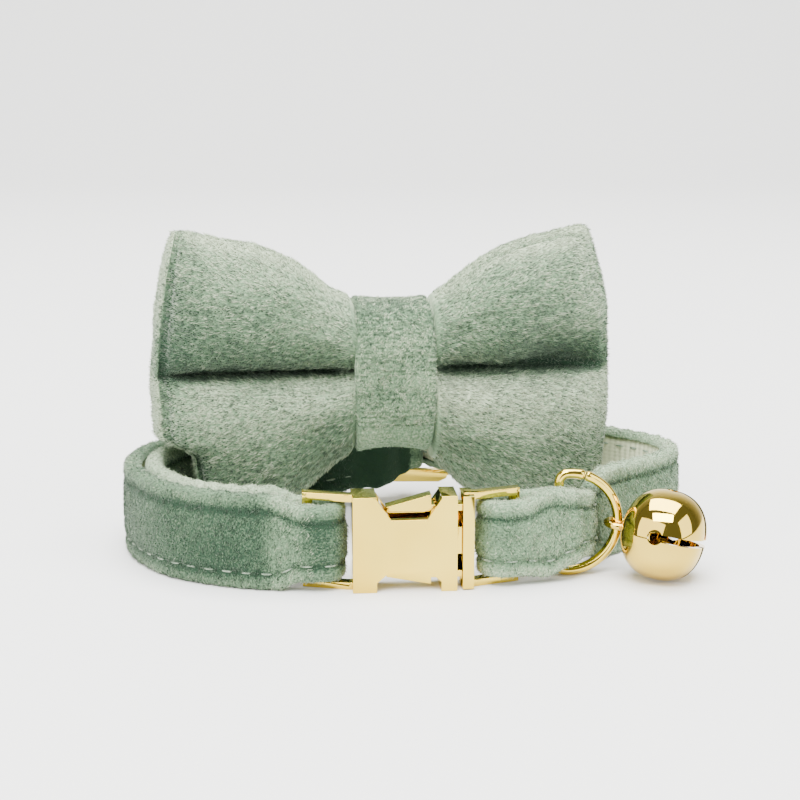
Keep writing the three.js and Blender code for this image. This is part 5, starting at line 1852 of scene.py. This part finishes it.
@dataclass
class Bell:
    """The jingle bell, its eye on the ring and the ball in it."""

    origin: Array
    ring: Ring
    diameter: float = 11.4
    length: float = 10.3
    wall: float = 0.7
    yaw: float = -24.0
    roll: float = -12.0
    on_ring: float = -4.0
    slot: float = 0.9
    slot_end: float = 1.9
    slot_reach: float = 88.0
    eye_wire: float = 0.9
    pellet: float = 3.6
    squareness: float = 2.35
    eye_gap: float = 0.3
    eye_room: float = 0.25
    pellet_gap: float = 0.3
    slot_depth: float = 2.5
    past_shell: float = 2.0
    slots: int = 4
    reach: float = field(init=False)
    tilt: float = field(init=False)
    centre: Array = field(init=False)

    def __post_init__(self) -> None:
        """Hangs the bell from the ring so that it lies on the ground."""
        ring, angle = self.ring, math.radians(self.on_ring)
        heading, yaw = math.radians(ring.heading), math.radians(self.yaw)
        far = ring.arm + ring.radius * math.cos(angle)
        eye = ring.bar + far * np.array([math.cos(heading), math.sin(heading)])
        eye_height = ring.height / 2 + ring.radius * math.sin(angle)
        self.reach = self.length / 2 + ring.wire / 2 + self.eye_gap
        self.tilt = math.asin((eye_height - self.diameter / 2) / self.reach)
        way = self.reach * math.cos(self.tilt)
        self.centre = np.array([
            eye[0] + way * math.cos(yaw),
            eye[1] + way * math.sin(yaw),
            self.diameter / 2,
        ])

    def shell(self, radius: float, half: float) -> Array:
        """A rounded barrel about the X axis, whose profile is a superellipse.

        Args:
            radius: its radius.
            half: half its length.

        Returns:
            A grid of points, from the eye's end to the slotted end.
        """
        a = np.linspace(-np.pi / 2, np.pi / 2, 72)
        r = radius * squarish(np.maximum(np.cos(a), 1e-5), self.squareness)[:, None]
        x = half * squarish(np.sin(a), self.squareness)[:, None]
        r[0] = r[-1] = 1e-4
        turn = circle(96)
        return np.stack(np.broadcast_arrays(x, r * np.cos(turn), r * np.sin(turn)), axis=-1)

    def cutters(self) -> list[bpy.types.Object]:
        """The four slots with their round ends, as closed solids that cut the shell.

        Returns:
            The solids.
        """
        start = self.length / 2 * math.cos(math.radians(self.slot_reach))
        top, half, sides = self.diameter / 2 + self.past_shell, self.slot / 2, 28
        ends, edges = (start, self.length / 2 + self.past_shell), (-half, half)
        corners = np.array([[x, y, z] for x in ends for y in edges for z in (0.0, top)])
        quads = np.array([[0, 1, 3, 2], [4, 6, 7, 5], [0, 4, 5, 1], [2, 3, 7, 6], [0, 2, 6, 4], [1, 5, 7, 3]])
        ring = circle(sides)
        hole = np.stack([start + self.slot_end / 2 * np.cos(ring), self.slot_end / 2 * np.sin(ring)], axis=1)
        levels = (self.diameter / 2 - self.slot_depth, top)
        drill = np.concatenate([np.column_stack([hole, np.full(sides, z)]) for z in levels])
        n = np.arange(sides)
        walls = np.stack([n, np.roll(n, -1), np.roll(n, -1) + sides, n + sides], axis=1)
        drill_loops = np.concatenate([walls.ravel(), n[::-1], n + sides])
        drill_sizes = np.append(np.full(sides, 4), [sides, sides])
        made = []
        for number in range(self.slots):
            for points, loops, sizes in (
                (corners, quads.ravel(), np.full(6, 4)),
                (drill, drill_loops, drill_sizes),
            ):
                spun = turned(points, 360 / self.slots * number + self.roll, (1, 2))
                made.append(new_mesh("cutter", spun, loops, sizes))
                face_outwards(made[-1])
        return made

    def placed(self, points: Array) -> Array:
        """Points of the bell's own frame, hung from the ring and lying on the ground."""
        tilted = turned(points, math.degrees(self.tilt), (2, 0))
        return turned(tilted, self.yaw) + self.centre + self.origin

    def build(self) -> None:
        """Builds and dresses the bell and its ball."""
        radius, half = self.diameter / 2, self.length / 2
        outer = Surface(self.shell(radius, half)).piece("bell_shell")
        inner = Surface(self.shell(radius - self.wall, half - self.wall)).piece("bell_hollow")
        cutters = [inner, *self.cutters()]
        for cutter in cutters:
            cut = outer.modifiers.new("cut", "BOOLEAN")
            cut.object = cutter
            cut.solver = "EXACT"
        applied(outer)
        for cutter in cutters:
            bpy.data.objects.remove(cutter)
        flat = np.empty(len(outer.data.vertices) * 3, dtype=np.float32)
        outer.data.vertices.foreach_get("co", flat)
        placed = self.placed(flat.reshape(-1, 3).astype(float) / MM)
        outer.data.vertices.foreach_set("co", (placed * MM).astype(np.float32).ravel())
        outer.data.update()
        outer.data.set_sharp_from_angle(angle=math.radians(40))
        finish = GiltFinish("bell_gilt", (0.68, 0.48, 0.08), (0.6, 0.41, 0.06), 0.035, 0.1).material()
        dress(outer, finish)
        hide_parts("bell")
        self.build_eye(finish)
        self.build_pellet()

    def build_eye(self, finish: bpy.types.Material) -> None:
        """The wire loop that holds the bell on the ring.

        Args:
            finish: the bell's finish.
        """
        thick = self.eye_wire / 2
        a, b = circle(56)[:, None], circle(18)
        far = self.ring.wire / 2 + thick + self.eye_room + thick * np.cos(b)
        points = np.stack([far * np.cos(a) - self.reach, far * np.sin(a), thick * np.sin(b) + 0 * a], axis=-1)
        dress(Surface(self.placed(points), closed_rows=True).piece("bell_eye"), finish)

    def build_pellet(self) -> None:
        """The loose ball, seen through the slots."""
        radius = self.pellet / 2
        a, b = np.linspace(-np.pi / 2, np.pi / 2, 24)[:, None], circle(36)
        r = radius * np.maximum(np.cos(a), 1e-4)
        points = np.stack([r * np.cos(b), r * np.sin(b), radius * np.sin(a) + 0 * b], axis=-1)
        low = self.wall + self.pellet_gap + radius
        at = np.array([self.centre[0], self.centre[1], low]) + self.origin
        ball = Surface(points + at).piece("bell_ball")
        dress(ball, SteelFinish().material())
        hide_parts("bell_pellet")


@dataclass
class Adjuster:
    """The slider at the back and the two elastic loops that hold the bow."""

    edge: float = 0.18
    loop_edge: float = 0.22

    def build(self) -> None:
        """Rounds and dresses the slider and the loops."""
        dress(finished_copy("slider", "slider_bars", self.edge), GiltFinish("slider_gilt").material())
        knit = KnitFinish().material()
        for node, name in (("elastic_left", "bow_loop_left"), ("elastic_right", "bow_loop_right")):
            dress(finished_copy(node, name, self.loop_edge, 2), knit)


# ---------------------------------------------------------------- picture


@dataclass(frozen=True)
class SoftBox:
    """A rectangular light that faces the collar, with its place and size in millimetres."""

    name: str
    at: tuple[float, float, float]
    size: tuple[float, float]
    power: float
    color: Color = (1.0, 1.0, 1.0)

    def build(self) -> None:
        """Hangs the light and turns it to the collar."""
        data = bpy.data.lights.new(self.name, "AREA")
        data.shape = "RECTANGLE"
        data.size, data.size_y = self.size[0] * MM, self.size[1] * MM
        data.energy = self.power
        data.color = self.color
        made = bpy.data.objects.new(self.name, data)
        made.location = [v * MM for v in self.at]
        bpy.context.collection.objects.link(made)
        way = Vector((0, 0, 15 * MM)) - made.location
        made.rotation_euler = way.to_track_quat("-Z", "Y").to_euler()


@dataclass
class Studio:
    """The camera, the floor and the lights."""

    camera_at: tuple[float, float, float] = (-0.936, -222.8, 65.2)
    pitch_down: float = 11.7
    lens: float = 76.5
    sensor: float = 36.0
    floor_front: float = -12000.0
    floor_side: float = 6000.0
    sweep_from: float = 600.0
    sweep_radius: float = 500.0
    backdrop_top: float = 3000.0
    room_color: Color = (0.94, 1.0, 0.88)
    room_strength: float = 0.25
    boxes: tuple[SoftBox, ...] = (
        SoftBox("left_window", (-800, -760, 520), (1300, 1000), 18.0, (1.0, 0.98, 0.96)),
        SoftBox("right_window", (860, -500, 430), (760, 820), 9.0, (0.97, 0.98, 1.0)),
        SoftBox("front_box", (-120, -560, 980), (760, 420), 26.0),
        SoftBox("top_box", (40, 100, 1000), (900, 700), 30.0),
    )

    def build(self) -> None:
        """Sets the camera, the floor and the lights."""
        self.camera()
        self.floor()
        self.lights()

    def camera(self) -> None:
        """A camera at the photograph's place above the floor."""
        data = bpy.data.cameras.new("studio_camera")
        data.lens = self.lens
        data.sensor_width = self.sensor
        data.clip_start = 0.005
        data.clip_end = 20
        made = bpy.data.objects.new("studio_camera", data)
        made.location = [v * MM for v in self.camera_at]
        made.rotation_euler = (math.radians(90 - self.pitch_down), 0, 0)
        bpy.context.collection.objects.link(made)
        bpy.context.scene.camera = made

    def floor(self) -> None:
        """A floor that sweeps up into a backdrop far behind: a profile drawn across the whole view."""
        arc = np.radians(np.linspace(-90, 0, 24))
        radius = self.sweep_radius
        sweep = np.stack([self.sweep_from + radius * np.cos(arc), radius + radius * np.sin(arc)], axis=1)
        last = [self.sweep_from + radius, self.backdrop_top]
        profile = np.concatenate([[[self.floor_front, 0.0]], sweep, [last]])
        ends = (-self.floor_side, self.floor_side)
        points = np.array([[x, y, z] for y, z in profile for x in ends])
        i = np.arange(len(profile) - 1)[:, None] * 2
        loops = (i + np.array([0, 1, 3, 2])).ravel()
        made = new_mesh("studio_floor", points, loops, np.full(len(profile) - 1, 4))
        made.data.materials.append(PaperFinish().material())

    def lights(self) -> None:
        """Soft boxes above, in front and at the sides, in an even pale room."""
        world = bpy.data.worlds.new("studio_room")
        bpy.context.scene.world = world
        world.use_nodes = True
        background = world.node_tree.nodes["Background"].inputs
        background["Color"].default_value = (*self.room_color, 1)
        background["Strength"].default_value = self.room_strength
        for box in self.boxes:
            box.build()


def origin_shift(bow: Bow) -> Array:
    """How far the CAD frame lies from the buckle's coordinates, from the knot, which is even all round.

    Args:
        bow: the bow's sizes.

    Returns:
        The shift, in millimetres.
    """
    low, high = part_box("bow_knot")
    middle = (np.array(low) + np.array(high)) / 2 / MM
    return middle - np.array([*bow.at, bow.height / 2 + bow.waist_rise])


def main() -> None:
    """Builds the collar's sub-assemblies in order."""
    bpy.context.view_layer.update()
    origin = origin_shift(Bow(np.zeros(3)))
    Studio().build()
    strap = Strap(origin)
    ring = Ring(origin, strap.plan)
    for part in (strap, Bow(origin), Clasp(), ring, Bell(origin, ring), Adjuster()):
        part.build()
        log.info("built %s", type(part).__name__)


if __name__ == "__main__":
    logging.basicConfig(level=logging.INFO)
    main()
